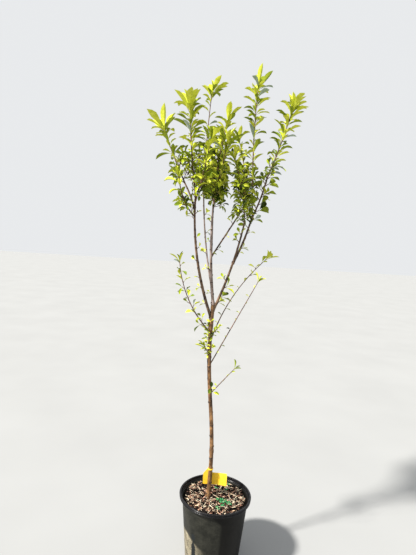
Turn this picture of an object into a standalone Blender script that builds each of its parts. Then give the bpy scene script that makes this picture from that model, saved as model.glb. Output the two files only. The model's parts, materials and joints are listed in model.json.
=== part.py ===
"""A young plum tree in a nursery pot.

The trunk stands in a filled pot and forks into upright boughs. Each bough carries masses of foliage:
one stem, short spurs round it, and a rosette of leaves at the end of each spur. Metres, +Z up, and
the origin is the centre of the pot's flat underside.
"""
import math
import random
from collections import namedtuple

import bmesh
import bpy
import numpy as np
from mathutils import Matrix, Vector

# Pot and filling
POT_HEIGHT = 0.280
RIM_RADIUS = 0.150
RIM_BAND = 0.014
RIM_ROUND = 0.003
RIM_DRAFT = 0.0008
LIP_DROP = 0.003
LEDGE_DROP = 0.016
LEDGE_WIDTH = 0.005
WALL_TOP_RADIUS = 0.137
BASE_RADIUS = 0.111
BASE_ROUND = 0.005
WALL = 0.0018
FLOOR = 0.0030
POT_SIDES = 32
DRAIN_COUNT = 6
DRAIN_RADIUS = 0.008
DRAIN_HEIGHT = 0.015
SOIL_HEIGHT = 0.258
SOIL_RINGS = (0.126, 0.101, 0.076)
SOIL_FLAT_RADIUS = 0.052
SOIL_BUMP = 0.005
SOIL_SEED = 3
GAP = 0.0003
WELD = 0.000001
SHARP_TURN = math.radians(35)

# Trunk
TRUNK_FOOT = (-0.030, 0.000, SOIL_HEIGHT + GAP)
TRUNK_TIP = (-0.058, 0.004, 1.070)
TRUNK_SWAY = (0.010, 0.004, 0.0)
TRUNK_FOOT_RADIUS = 0.0085
TRUNK_TIP_RADIUS = 0.0077
TRUNK_STEPS = 22
FLARE_HEIGHT = 0.045
FLARE_SPREAD = 0.75
FLARE_STEPS = (0.0, 0.12, 0.35, 0.65)
RIDGE_DEPTH = 0.4
ROOT_RIDGES = 3
ROOT_TURN = math.radians(-50)
# Each knuckle: its share of the trunk's length, its spread along it and how much it swells
KNUCKLES = ((0.245, 0.012, 0.20), (0.90, 0.030, 0.16), (0.985, 0.016, 0.14))

# Label
LABEL_WIDTH = 0.100
LABEL_HEIGHT = 0.052
LABEL_THICKNESS = 0.0010
LABEL_LEFT = -0.055
LABEL_FOOT = 0.307
LABEL_ROUND = 0.005
TONGUE_RIGHT = TRUNK_FOOT[0] + 0.007
TONGUE_LEFT = TRUNK_FOOT[0] - 0.001
TONGUE_FOOT = TRUNK_FOOT[0] + 0.014
TIE_HEIGHT = 0.384
TIE_WIDTH = 0.005
TIE_THICKNESS = 0.0012
TIE_CLEARANCE = 0.0012
TIE_SIDES = 14

# Leaves and spurs
LEAF_WIDTH = 0.48
LEAF_BELLY = 0.60
LEAF_FOLD = 0.10
LEAF_DROOP = 0.16
LEAF_ROOT_WIDTH = 0.0013
LEAF_ROOT_DEPTH = 0.0014
LEAF_SUNK = 0.0002
LEAF_STAGGER = 0.0046
SPUR_FOOT_RADIUS = 0.0021
SPUR_TIP_RADIUS = 0.0019
SPUR_SIDES = 3
STEM_STEPS = 6
LIMB_STEPS = 8
TRUNK_SIDES = 10
LIMB_SIDES = 6
STEM_SIDES = 4
TIP_LEAF = 1.32
TIP_SUNK = 0.0010
GOLDEN_TURN = math.radians(137.5)
# Leaves lean out from their spur by these many degrees, from the inmost to the outmost
FIRST_LEAN = 10
LEAF_LEAN = 38
LEAN_SPREAD = 26
LEAN_WANDER = 6
TURN_WANDER = 0.2
# A spur leans from its stem by so many degrees, and then rises
SPUR_LEAN = (42, 62)
SPUR_RISE = 0.25
SPUR_TAPER = 0.75
MASS_MARGIN = 0.0035
LIMB_MARGIN = 0.0025

# Each limb: where it leaves its parent as a share of the parent's length, where its tip is, how far
# its middle bows out, and its radius at foot and tip
Limb = namedtuple("Limb", "name parent share tip bow foot_radius tip_radius")
LIMBS = (
    Limb("middle_bough", "trunk", 1.0, (-0.081, 0.010, 1.490), (-0.010, 0.000, 0.0), 0.0062, 0.0038),
    Limb("right_bough", "trunk", 0.965, (0.042, -0.054, 1.400), (0.012, 0.012, 0.0), 0.0056, 0.0033),
    Limb("left_bough", "trunk", 0.925, (-0.152, -0.071, 1.495), (-0.026, 0.004, 0.0), 0.0060, 0.0037),
    Limb("rear_left_bough", "middle_bough", 0.13, (-0.123, 0.056, 1.500),
         (-0.008, 0.004, 0.0), 0.0034, 0.0030),
    Limb("centre_right_bough", "middle_bough", 0.46, (0.046, 0.062, 1.478),
         (0.0, 0.006, 0.0), 0.0033, 0.0029),
    Limb("rear_bough", "middle_bough", 0.34, (-0.083, 0.125, 1.490), (0.0, 0.016, 0.0), 0.0037, 0.0031),
    Limb("right_outer_bough", "right_bough", 0.56, (0.078, 0.012, 1.440),
         (0.006, -0.004, 0.0), 0.0046, 0.0034),
    Limb("far_right_bough", "right_outer_bough", 0.93, (0.126, 0.004, 1.592),
         (0.005, 0.0, 0.0), 0.0034, 0.0030),
    Limb("far_left_bough", "left_bough", 0.88, (-0.192, -0.050, 1.535), (0.004, 0.0, 0.0), 0.0034, 0.0030),
)

# Each mass: its stem as a limb, then how far its space reaches from the stem, how long its spurs are,
# how many spurs it has, its leaf length, leaves on a spur and at the tip, and its seed
Mass = namedtuple(
    "Mass", "name parent share tip bow foot_radius tip_radius reach spur spurs leaf few many seed"
)
MASSES = (
    Mass("left_foliage", "left_bough", 1.0, (-0.189, -0.110, 1.805), (-0.004, 0.0, 0.0),
         0.0034, 0.0027, 0.115, 0.050, 12, 0.070, 3, 6, 11),
    Mass("lower_left_foliage", "left_bough", 0.84, (-0.216, -0.118, 1.560), (-0.012, 0.0, -0.010),
         0.0029, 0.0026, 0.100, 0.030, 6, 0.062, 3, 4, 12),
    Mass("far_left_foliage", "far_left_bough", 1.0, (-0.292, -0.008, 1.748), (-0.002, 0.0, 0.0),
         0.0028, 0.0026, 0.120, 0.036, 8, 0.070, 3, 6, 13),
    Mass("rear_left_foliage", "rear_left_bough", 1.0, (-0.116, 0.113, 1.948), (-0.006, 0.0, 0.0),
         0.0028, 0.0025, 0.120, 0.050, 13, 0.070, 3, 5, 14),
    Mass("front_left_foliage", "left_bough", 0.95, (-0.104, -0.150, 1.690), (0.0, -0.010, -0.012),
         0.0029, 0.0026, 0.110, 0.040, 9, 0.066, 3, 5, 29),
    Mass("centre_foliage", "middle_bough", 1.0, (-0.045, 0.018, 1.805), (-0.008, 0.0, 0.0),
         0.0035, 0.0027, 0.120, 0.056, 14, 0.070, 3, 6, 15),
    Mass("centre_front_foliage", "middle_bough", 0.93, (-0.046, -0.085, 1.690), (0.0, -0.014, -0.010),
         0.0029, 0.0026, 0.110, 0.046, 10, 0.068, 3, 6, 16),
    Mass("rear_foliage", "rear_bough", 1.0, (-0.066, 0.205, 1.765), (0.0, 0.006, 0.0),
         0.0029, 0.0026, 0.125, 0.056, 12, 0.072, 3, 6, 17),
    Mass("centre_right_foliage", "centre_right_bough", 1.0, (0.012, 0.125, 1.765), (0.012, 0.0, 0.0),
         0.0027, 0.0025, 0.120, 0.050, 12, 0.070, 3, 5, 18),
    Mass("right_inner_foliage", "right_bough", 1.0, (-0.016, -0.128, 1.632), (0.012, 0.0, 0.0),
         0.0031, 0.0026, 0.100, 0.038, 10, 0.062, 3, 4, 19),
    Mass("right_leader_foliage", "right_outer_bough", 1.0, (0.072, 0.070, 1.965), (-0.008, -0.006, 0.0),
         0.0032, 0.0026, 0.105, 0.030, 14, 0.066, 3, 5, 20),
    Mass("far_right_foliage", "far_right_bough", 1.0, (0.200, -0.034, 1.845), (0.004, 0.0, 0.0),
         0.0028, 0.0026, 0.110, 0.028, 9, 0.062, 3, 5, 21),
    Mass("low_left_spray", "trunk", 0.860, (-0.201, -0.043, 1.240), (-0.024, 0.0, -0.014),
         0.0029, 0.0022, 0.085, 0.022, 9, 0.036, 1, 3, 22),
    Mass("right_upper_spray", "trunk", 0.805, (0.150, 0.040, 1.268), (-0.024, 0.016, 0.012),
         0.0027, 0.0022, 0.080, 0.024, 8, 0.038, 1, 3, 33),
    Mass("right_lower_spray", "trunk", 0.690, (0.112, -0.050, 1.178), (0.0, 0.0, 0.0),
         0.0029, 0.0022, 0.070, 0.016, 7, 0.034, 1, 3, 24),
    Mass("low_right_spray", "trunk", 0.545, (0.043, -0.030, 0.820), (0.0, 0.0, 0.0),
         0.0024, 0.0022, 0.060, 0.012, 3, 0.026, 2, 2, 25),
    Mass("left_trunk_tuft", "trunk", 0.745, (-0.082, -0.020, 0.902), (0.0, 0.0, 0.0),
         0.0024, 0.0022, 0.070, 0.012, 1, 0.038, 2, 4, 26),
    Mass("right_trunk_tuft", "trunk", 0.840, (-0.036, -0.022, 0.978), (0.0, 0.0, 0.0),
         0.0024, 0.0022, 0.070, 0.012, 1, 0.036, 2, 4, 27),
    Mass("rear_trunk_tuft", "trunk", 0.790, (-0.066, 0.036, 0.944), (0.0, 0.0, 0.0),
         0.0024, 0.0022, 0.070, 0.012, 1, 0.038, 2, 4, 28),
)

PLASTIC = ((0.040, 0.040, 0.037), 0.55)
PINE_BARK = ((0.190, 0.105, 0.070), 0.95)
CARD = ((0.840, 0.560, 0.030), 0.50)
TRUNK_BARK = ((0.270, 0.165, 0.105), 0.80)
BOUGH_BARK = ((0.200, 0.105, 0.070), 0.75)
LEAF_GREEN = ((0.330, 0.420, 0.030), 0.50)


def clear_scene():
    for item in list(bpy.data.objects):
        bpy.data.objects.remove(item, do_unlink=True)


def new_collection(name, shown=True):
    group = bpy.data.collections.new(name)
    group.hide_render = not shown
    bpy.context.scene.collection.children.link(group)
    return group


def principled(name, finish):
    colour, roughness = finish
    material = bpy.data.materials.new(name)
    material.use_nodes = True
    shader = material.node_tree.nodes["Principled BSDF"]
    shader.inputs["Base Color"].default_value = (*colour, 1.0)
    shader.inputs["Roughness"].default_value = roughness
    shader.inputs["Metallic"].default_value = 0.0
    return material


def add_object(name, data, group):
    item = bpy.data.objects.new(name, data)
    group.objects.link(item)
    return item


def add_cutter(name, data, cutters):
    item = add_object(name, data, cutters)
    item.hide_render = True
    item.display_type = "WIRE"
    return item


def mesh_from(edit, name):
    bmesh.ops.recalc_face_normals(edit, faces=edit.faces)
    mesh = bpy.data.meshes.new(name)
    edit.to_mesh(mesh)
    edit.free()
    return mesh


def shape_of(item):
    """A mesh of an object's evaluated shape, with its doubled points welded, and whether it is closed."""
    graph = bpy.context.evaluated_depsgraph_get()
    mesh = bpy.data.meshes.new_from_object(item.evaluated_get(graph))
    edit = bmesh.new()
    edit.from_mesh(mesh)
    bmesh.ops.remove_doubles(edit, verts=edit.verts, dist=WELD)
    closed = all(edge.is_manifold for edge in edit.edges)
    edit.to_mesh(mesh)
    edit.free()
    return mesh, closed


def apply_shape(item):
    """Turns an object's evaluated shape into its own mesh."""
    mesh, _ = shape_of(item)
    name, group, matrix = item.name, item.users_collection[0], item.matrix_world.copy()
    bpy.data.objects.remove(item, do_unlink=True)
    solid = add_object(name, mesh, group)
    solid.matrix_world = matrix
    return solid


def cut(item, cutter):
    boolean = item.modifiers.new("clear of " + cutter.name, "BOOLEAN")
    boolean.operation = "DIFFERENCE"
    boolean.solver = "EXACT"
    boolean.object = cutter


# Paths and limbs

def path_of(foot, tip, bow, sway=(0.0, 0.0, 0.0), steps=12):
    """Points from foot to tip along a line that bows out at its middle and may sway to both sides."""
    foot, tip, bow, sway = Vector(foot), Vector(tip), Vector(bow), Vector(sway)
    points = []
    for step in range(steps + 1):
        share = step / steps
        straight = foot.lerp(tip, share)
        bend = bow * 4 * share * (1 - share) + sway * math.sin(2 * math.pi * share)
        points.append(straight + bend)
    return points


def along(path, share):
    """The point at a share of the path's steps, and the heading there."""
    place = min(max(share, 0.0), 1.0) * (len(path) - 1)
    step = min(int(place), len(path) - 2)
    heading = (path[step + 1] - path[step]).normalized()
    return path[step].lerp(path[step + 1], place - step), heading


def tube(name, path, radii, group, sides):
    """A closed round tube along the path, as a mesh."""
    curve = bpy.data.curves.new(name, "CURVE")
    curve.dimensions = "3D"
    curve.bevel_depth = 1.0
    curve.bevel_resolution = (sides - 4) // 2
    curve.use_fill_caps = True
    spline = curve.splines.new("POLY")
    spline.points.add(len(path) - 1)
    for point, place, radius in zip(spline.points, path, radii):
        point.co = (*place, 1.0)
        point.radius = radius
    return apply_shape(add_object(name, curve, group))


def tapered(count, foot_radius, tip_radius):
    return [foot_radius + (tip_radius - foot_radius) * step / count for step in range(count + 1)]


def trunk_radii(steps):
    radii = tapered(steps, TRUNK_FOOT_RADIUS, TRUNK_TIP_RADIUS)
    for step in range(steps + 1):
        for place, spread, swell in KNUCKLES:
            distance = (step / steps - place) / spread
            radii[step] *= 1 + swell * math.exp(-distance * distance)
    return radii


def spread_roots(trunk):
    """Widens the trunk's foot into root ridges and makes its cut flat."""
    foot = Vector(TRUNK_FOOT)
    for vertex in trunk.data.vertices:
        height = vertex.co.z - foot.z
        if height > FLARE_HEIGHT:
            continue
        low = 1 - max(height, 0.0) / FLARE_HEIGHT
        turn = math.atan2(vertex.co.y - foot.y, vertex.co.x - foot.x)
        ridge = 1 - RIDGE_DEPTH + RIDGE_DEPTH * math.cos(ROOT_RIDGES * (turn - ROOT_TURN))
        widen = 1 + FLARE_SPREAD * low * low * ridge
        vertex.co.x = foot.x + (vertex.co.x - foot.x) * widen
        vertex.co.y = foot.y + (vertex.co.y - foot.y) * widen
        if height < GAP * 4:
            vertex.co.z = foot.z


def make_trunk(group, material):
    """The trunk, from a flat cut at the soil to the fork. Its lowest steps are short, for the flare."""
    path = path_of(TRUNK_FOOT, TRUNK_TIP, (0.0, 0.0, 0.0), TRUNK_SWAY, TRUNK_STEPS)
    radii = trunk_radii(TRUNK_STEPS)
    path[1] = path[0] + Vector((0.0, 0.0, FLARE_HEIGHT))
    flared = [path[0].lerp(path[1], share) for share in FLARE_STEPS] + path[1:]
    flared_radii = [radii[0]] * len(FLARE_STEPS) + radii[1:]
    trunk = tube("trunk", flared, flared_radii, group, TRUNK_SIDES)
    trunk.data.materials.append(material)
    spread_roots(trunk)
    return path, radii


def limb_path(sizes, paths, steps):
    """A limb's path, from inside its parent's side or just under the parent's tip."""
    parent_path = paths[sizes.parent][0]
    foot, heading = along(parent_path, sizes.share)
    if sizes.share == 1.0:
        foot = foot - heading * TIP_SUNK
    return path_of(foot, sizes.tip, sizes.bow, steps=steps)


def limbs_at(parent, paths):
    """A limb and those that are already made on it."""
    return [parent] + [other.name for other in LIMBS if other.parent == parent and other.name in paths]


def make_limb(sizes, paths, group, cutters, material):
    """One tapering limb, cut clear of the parent that it leaves and of the limbs made before it there."""
    path = limb_path(sizes, paths, LIMB_STEPS)
    radii = tapered(LIMB_STEPS, sizes.foot_radius, sizes.tip_radius)
    limb = tube(sizes.name, path, radii, group, LIMB_SIDES)
    for other in limbs_at(sizes.parent, paths):
        limb = clear_of(limb, other, paths, cutters)
    limb.data.materials.append(material)
    paths[sizes.name] = (path, radii)


def clear_of(item, parent, paths, cutters):
    """Cuts an object clear of a limb, by the gap that touching pieces keep."""
    path, radii = paths[parent]
    tip, heading = along(path, 1.0)
    sides = TRUNK_SIDES if parent == "trunk" else LIMB_SIDES
    fat_path = path[:-1] + [tip + heading * GAP]
    fat = tube(parent + "_clearance", fat_path, [radius + GAP for radius in radii], cutters, sides)
    fat.hide_render = True
    fat.display_type = "WIRE"
    cut(item, fat)
    solid = apply_shape(item)
    bpy.data.objects.remove(fat, do_unlink=True)
    keep_largest(solid.data)
    return solid


def islands_of(edit):
    """The separate bodies of a mesh, each as a list of faces."""
    edit.faces.ensure_lookup_table()
    unseen = set(edit.faces)
    bodies = []
    while unseen:
        body, waiting = [], [unseen.pop()]
        while waiting:
            face = waiting.pop()
            body.append(face)
            for edge in face.edges:
                for other in edge.link_faces:
                    if other in unseen:
                        unseen.remove(other)
                        waiting.append(other)
        bodies.append(body)
    return bodies


def keep_largest(mesh):
    """Drops loose scraps and sealed hollows: only the body with the most faces stays."""
    edit = bmesh.new()
    edit.from_mesh(mesh)
    bodies = sorted(islands_of(edit), key=len)
    spare = [vertex for body in bodies[:-1] for face in body for vertex in face.verts]
    bmesh.ops.delete(edit, geom=list(set(spare)), context="VERTS")
    edit.to_mesh(mesh)
    edit.free()


# Pot, filling and label

def turned(name, profile, group, sides=POT_SIDES):
    """A solid turned from a profile of radius and height that runs down its outer side."""
    mesh = bpy.data.meshes.new(name)
    points = [(radius, 0.0, height) for radius, height in profile]
    edges = [(step, step + 1) for step in range(len(points) - 1)]
    mesh.from_pydata(points, edges, [])
    item = add_object(name, mesh, group)
    screw = item.modifiers.new("turned", "SCREW")
    screw.axis = "Z"
    screw.steps = sides
    screw.render_steps = sides
    screw.use_merge_vertices = True
    screw.merge_threshold = 0.0001
    return item


def wall_radius(height):
    """The outer radius of the pot's wall at a height."""
    share = height / (POT_HEIGHT - LEDGE_DROP)
    return BASE_RADIUS + (WALL_TOP_RADIUS - BASE_RADIUS) * share


def quarter_round(radius, height, size, start, steps=2):
    """Points of a quarter circle about a centre, from a start angle, clockwise."""
    points = []
    for step in range(steps + 1):
        turn = math.radians(start - 90 * step / steps)
        points.append((radius + size * math.cos(turn), height + size * math.sin(turn)))
    return points


def make_pot(group, cutters, material):
    ledge = POT_HEIGHT - LEDGE_DROP
    inner_top = wall_radius(ledge) - WALL
    outer_lip = [
        (RIM_RADIUS - RIM_DRAFT, POT_HEIGHT - RIM_BAND),
        (WALL_TOP_RADIUS + GAP, POT_HEIGHT - RIM_BAND),
        (wall_radius(ledge), ledge - LIP_DROP),
    ]
    profile = [
        (0.0, FLOOR),
        (wall_radius(FLOOR) - WALL - BASE_ROUND, FLOOR),
        (wall_radius(FLOOR + BASE_ROUND) - WALL, FLOOR + BASE_ROUND),
        (inner_top, ledge),
        (inner_top + LEDGE_WIDTH, ledge + LEDGE_WIDTH / 2),
        (inner_top + LEDGE_WIDTH * 1.5, POT_HEIGHT),
        *quarter_round(RIM_RADIUS - RIM_ROUND, POT_HEIGHT - RIM_ROUND, RIM_ROUND, 90),
        *outer_lip,
        (wall_radius(BASE_ROUND), BASE_ROUND),
        (BASE_RADIUS - BASE_ROUND * 0.3, BASE_ROUND * 0.3),
        (BASE_RADIUS - BASE_ROUND, 0.0),
        (0.0, 0.0),
    ]
    pot = turned("pot", profile, group)
    for number in range(DRAIN_COUNT):
        edit = bmesh.new()
        turn = Matrix.Rotation(2 * math.pi * (number + 0.5) / DRAIN_COUNT, 4, "Z")
        place = Matrix.Translation((BASE_RADIUS, 0.0, DRAIN_HEIGHT))
        lie = Matrix.Rotation(math.radians(90), 4, "Y")
        bmesh.ops.create_cone(edit, cap_ends=True, segments=8, radius1=DRAIN_RADIUS,
                              radius2=DRAIN_RADIUS, depth=BASE_ROUND * 4, matrix=turn @ place @ lie)
        cut(pot, add_cutter("drain_hole", mesh_from(edit, "drain_hole"), cutters))
    pot = apply_shape(pot)
    pot.data.materials.append(material)
    pot.data.shade_smooth()
    pot.data.set_sharp_from_angle(angle=SHARP_TURN)


def make_soil(group, material):
    """The filling: a plug clear of the pot's wall, with an uneven top that is flat under the trunk."""
    inset = WALL + GAP
    edge_height = SOIL_HEIGHT - SOIL_BUMP
    low = FLOOR + BASE_ROUND + GAP
    profile = [(0.0, SOIL_HEIGHT), (SOIL_FLAT_RADIUS, SOIL_HEIGHT)]
    profile += [(radius, SOIL_HEIGHT) for radius in reversed(SOIL_RINGS)]
    profile += [
        (wall_radius(edge_height) - inset, edge_height),
        (wall_radius(low) - inset, low),
        (wall_radius(FLOOR) - inset - BASE_ROUND, FLOOR + GAP),
        (0.0, FLOOR + GAP),
    ]
    soil = apply_shape(turned("bark_filling", profile, group))
    rng = random.Random(SOIL_SEED)
    for vertex in soil.data.vertices:
        radius = math.hypot(vertex.co.x, vertex.co.y)
        if SOIL_RINGS[-1] - GAP < radius < SOIL_RINGS[0] + GAP and vertex.co.z > SOIL_HEIGHT - GAP:
            vertex.co.z += rng.uniform(-SOIL_BUMP, SOIL_BUMP)
    soil.data.materials.append(material)


def label_outline():
    """The card's outline: a rectangle with round corners and a tongue that narrows up to the tie."""
    left, right = LABEL_LEFT, LABEL_LEFT + LABEL_WIDTH
    low, high = LABEL_FOOT, LABEL_FOOT + LABEL_HEIGHT
    points = []
    corners = (
        (left + LABEL_ROUND, low + LABEL_ROUND, 180),
        (right - LABEL_ROUND, low + LABEL_ROUND, 270),
        (right - LABEL_ROUND, high - LABEL_ROUND, 0),
    )
    for x, z, start in corners:
        for step in range(4):
            turn = math.radians(start + 30 * step)
            points.append((x + LABEL_ROUND * math.cos(turn), z + LABEL_ROUND * math.sin(turn)))
    points += [
        (TONGUE_FOOT, high),
        (TONGUE_RIGHT, TIE_HEIGHT),
        (TONGUE_LEFT, TIE_HEIGHT),
        (left, high - LABEL_ROUND),
    ]
    return points


def flat_plate(name, outline, thickness, group):
    """A plate cut to a flat outline, lying in the XY plane."""
    curve = bpy.data.curves.new(name, "CURVE")
    curve.dimensions = "2D"
    curve.fill_mode = "BOTH"
    curve.extrude = thickness / 2
    spline = curve.splines.new("POLY")
    spline.points.add(len(outline) - 1)
    for point, place in zip(spline.points, outline):
        point.co = (place[0], place[1], 0.0, 1.0)
    spline.use_cyclic_u = True
    return add_object(name, curve, group)


def make_label(trunk_path, group, cutters, material):
    """A plain card behind the trunk, on a tie that loops round it."""
    centre = Vector(TRUNK_FOOT)
    for place in trunk_path:
        if place.z < TIE_HEIGHT:
            centre = place
    inner = TRUNK_FOOT_RADIUS + TIE_CLEARANCE
    outer = inner + TIE_THICKNESS
    plate = flat_plate("plant_label", label_outline(), LABEL_THICKNESS, group)
    plate.matrix_world = (
        Matrix.Translation((0.0, centre.y + outer - LABEL_THICKNESS / 2, 0.0))
        @ Matrix.Rotation(math.radians(90), 4, "X")
    )
    plate = apply_shape(plate)
    profile = [(inner, -TIE_WIDTH / 2), (inner, TIE_WIDTH / 2), (outer, TIE_WIDTH / 2),
               (outer, -TIE_WIDTH / 2), (inner, -TIE_WIDTH / 2)]
    tie = turned("label_tie", profile, cutters, TIE_SIDES)
    tie.location = (centre.x, centre.y, TIE_HEIGHT - TIE_WIDTH / 2)
    tie.hide_render = True
    union = plate.modifiers.new("tie", "BOOLEAN")
    union.operation = "UNION"
    union.solver = "EXACT"
    union.object = tie
    plate = apply_shape(plate)
    keep_largest(plate.data)
    plate.data.materials.append(material)


# Foliage

def leaf_solid(root, aim, up, length):
    """A folded leaf: a stout root, two raised sides at its belly and a drooping tip. Eight faces."""
    side = aim.cross(up).normalized()
    top = side.cross(aim).normalized()
    root = root - aim * LEAF_SUNK
    belly = root + aim * (length * LEAF_BELLY) + top * (length * LEAF_FOLD)
    half = side * (length * LEAF_WIDTH / 2)
    edge = side * (LEAF_ROOT_WIDTH / 2)
    tip = root + aim * length - top * (length * LEAF_DROOP)
    keel = root - top * LEAF_ROOT_DEPTH
    corners = (root + edge, root - edge, keel, belly + half, belly - half, tip)
    right, left, under, belly_right, belly_left, end = range(6)
    faces = (
        (right, left, end), (right, end, belly_right), (left, belly_left, end),
        (right, under, left), (under, belly_right, end), (under, end, belly_left),
        (right, belly_right, under), (left, under, belly_left),
    )
    return corners, faces


def leaf_samples(corners):
    """Points spread over a leaf, for testing what it would touch."""
    right, left, under, belly_right, belly_left, end = corners
    samples = []
    for step in range(1, 8):
        share = step / 7
        middle = under.lerp(end, share)
        wide = min(share / LEAF_BELLY, (1.0 - share) / (1.0 - LEAF_BELLY))
        edge = (belly_right - belly_left) * 0.5 * wide
        rise = (belly_right + belly_left) * 0.5 - under.lerp(end, LEAF_BELLY)
        for across in (-1.0, -0.5, 0.0, 0.5, 1.0):
            samples.append(middle + edge * across + rise * wide * abs(across))
    return samples


def solid_mesh(corners, faces):
    edit = bmesh.new()
    vertices = [edit.verts.new(corner) for corner in corners]
    for face in faces:
        edit.faces.new([vertices[number] for number in face])
    return mesh_from(edit, "leaf")


def spur_mesh(foot, aim, length):
    """A three-sided tapering twig, turned so that leaves leave it through the middle of a side."""
    edit = bmesh.new()
    bmesh.ops.create_cone(edit, cap_ends=True, segments=SPUR_SIDES, radius1=SPUR_FOOT_RADIUS,
                          radius2=SPUR_TIP_RADIUS, depth=length)
    for vertex in edit.verts:
        turn = math.atan2(vertex.co.y, vertex.co.x)
        corner = round(turn / (2 * math.pi / SPUR_SIDES)) + 0.5
        radius = math.hypot(vertex.co.x, vertex.co.y)
        out = around(aim, 2 * math.pi * corner / SPUR_SIDES, math.radians(90))
        vertex.co = foot + aim * (vertex.co.z + length / 2) + out * radius
    return mesh_from(edit, "spur")


def segments_of(paths):
    """All the short straight runs of some paths, as arrays of starts and ends."""
    starts = [point for path in paths for point in path[:-1]]
    ends = [point for path in paths for point in path[1:]]
    return np.array(starts), np.array(ends)


def distances(points, starts, ends):
    """How far each point is from each run."""
    points = np.array(points)
    runs = ends - starts
    offset = points[:, None, :] - starts[None]
    share = (offset * runs).sum(-1) / (runs * runs).sum(-1)
    share = np.clip(share, 0.0, 1.0)
    return np.linalg.norm(offset - share[..., None] * runs, axis=-1)


class Room:
    """The space of one mass: nearer to its own stem than to any other, and clear of every limb."""

    def __init__(self, name, reach, stems, paths):
        self.reach = reach
        self.own = segments_of([stems[name]])
        self.others = segments_of([stem for other, stem in stems.items() if other != name])
        self.limbs = segments_of([path for path, radii in paths.values()])
        self.radii = np.concatenate([np.array(radii[:-1]) for path, radii in paths.values()])

    def holds(self, points):
        own = distances(points, *self.own).min(axis=1)
        others = distances(points, *self.others).min(axis=1)
        limbs = (distances(points, *self.limbs) - self.radii).min()
        near = bool((own + MASS_MARGIN < others).all() and (own < self.reach).all())
        return near and limbs > LIMB_MARGIN


def around(heading, turn, lean):
    """A direction that leans away from a heading, turned about it."""
    side = heading.orthogonal().normalized()
    across = heading.cross(side)
    out = side * math.cos(turn) + across * math.sin(turn)
    return (heading * math.cos(lean) + out * math.sin(lean)).normalized()


def rosette(place, heading, count, length, rng, room):
    """Leaves round the end of a twig: the first stands up, the rest leave its three sides in turn."""
    leaves = []
    for number in range(count):
        outer = number / count
        lean = FIRST_LEAN
        if number:
            lean = LEAF_LEAN + LEAN_SPREAD * outer + rng.uniform(-LEAN_WANDER, LEAN_WANDER)
        turn = 2 * math.pi * number / SPUR_SIDES + rng.uniform(-TURN_WANDER, TURN_WANDER)
        aim = around(heading, turn, math.radians(lean))
        size = length * (0.84 + 0.26 * outer) * rng.uniform(0.88, 1.1)
        root = place - heading * (LEAF_STAGGER * (number + 0.25))
        up = (heading - aim * heading.dot(aim)).normalized()
        corners, faces = leaf_solid(root, aim, up, size)
        if room.holds(leaf_samples(corners)):
            leaves.append(solid_mesh(corners, faces))
    return leaves


def grow(sizes, stem, room):
    """The spurs and leaves of one mass, by a seeded rule."""
    rng = random.Random(sizes.seed)
    tip, heading = along(stem, 1.0)
    pieces = rosette(tip, heading, sizes.many, sizes.leaf * TIP_LEAF, rng, room)
    phase = rng.uniform(0, 2 * math.pi)
    for number in range(sizes.spurs):
        share = (number + 0.6) / (sizes.spurs + 0.4)
        place, heading = along(stem, share)
        aim = around(heading, phase + GOLDEN_TURN * number, math.radians(rng.uniform(*SPUR_LEAN)))
        aim = (aim + Vector((0.0, 0.0, SPUR_RISE))).normalized()
        full = sizes.spur * (1.15 - SPUR_TAPER * share) * rng.uniform(0.65, 1.15)
        for length in (full, full * 0.5):
            end = place + aim * length
            ends = [place + aim * length * step for step in (0.6, 0.8, 1.0)]
            if room.holds(ends):
                pieces.append(spur_mesh(place, aim, length))
                pieces += rosette(end, aim, sizes.few, sizes.leaf, rng, room)
                break
    return pieces


def join(name, first, meshes, group, material):
    """One solid from a stem and its spurs and leaves."""
    pieces = new_collection(name + "_pieces", shown=False)
    for number, mesh in enumerate(meshes):
        add_object(f"{name}_piece_{number}", mesh, pieces)
    union = first.modifiers.new("joined", "BOOLEAN")
    union.operation = "UNION"
    union.operand_type = "COLLECTION"
    union.collection = pieces
    for solver in ("EXACT", "MANIFOLD"):
        union.solver = solver
        if shape_of(first)[1]:
            break
    solid = apply_shape(first)
    for item in list(pieces.objects):
        bpy.data.objects.remove(item, do_unlink=True)
    bpy.data.collections.remove(pieces)
    keep_largest(solid.data)
    solid.data.materials.append(material)
    return solid


def make_mass(sizes, stems, paths, group, cutters, material):
    stem = stems[sizes.name]
    radii = tapered(STEM_STEPS, sizes.foot_radius, sizes.tip_radius)
    first = tube(sizes.name, stem, radii, group, STEM_SIDES)
    for other in limbs_at(sizes.parent, paths):
        first = clear_of(first, other, paths, cutters)
    room = Room(sizes.name, sizes.reach, stems, paths)
    join(sizes.name, first, grow(sizes, stem, room), group, material)


def build():
    clear_scene()
    group = new_collection("potted_plum_tree")
    cutters = new_collection("cutters", shown=False)
    make_pot(group, cutters, principled("black_plastic", PLASTIC))
    make_soil(group, principled("pine_bark", PINE_BARK))
    paths = {"trunk": make_trunk(group, principled("trunk_bark", TRUNK_BARK))}
    make_label(paths["trunk"][0], group, cutters, principled("label_card", CARD))
    for sizes in LIMBS:
        make_limb(sizes, paths, group, cutters, principled(sizes.name + "_bark", BOUGH_BARK))
    stems = {sizes.name: limb_path(sizes, paths, STEM_STEPS) for sizes in MASSES}
    for sizes in MASSES:
        make_mass(sizes, stems, paths, group, cutters, principled(sizes.name + "_leaf", LEAF_GREEN))


build()
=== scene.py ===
"""The looks of a young plum tree in a nursery pot: its bark, leaves, pot, bark mulch and card label."""
import json
import math
import random
from collections import namedtuple

import bmesh
import bpy
import numpy as np
from mathutils import Matrix, Vector

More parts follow.
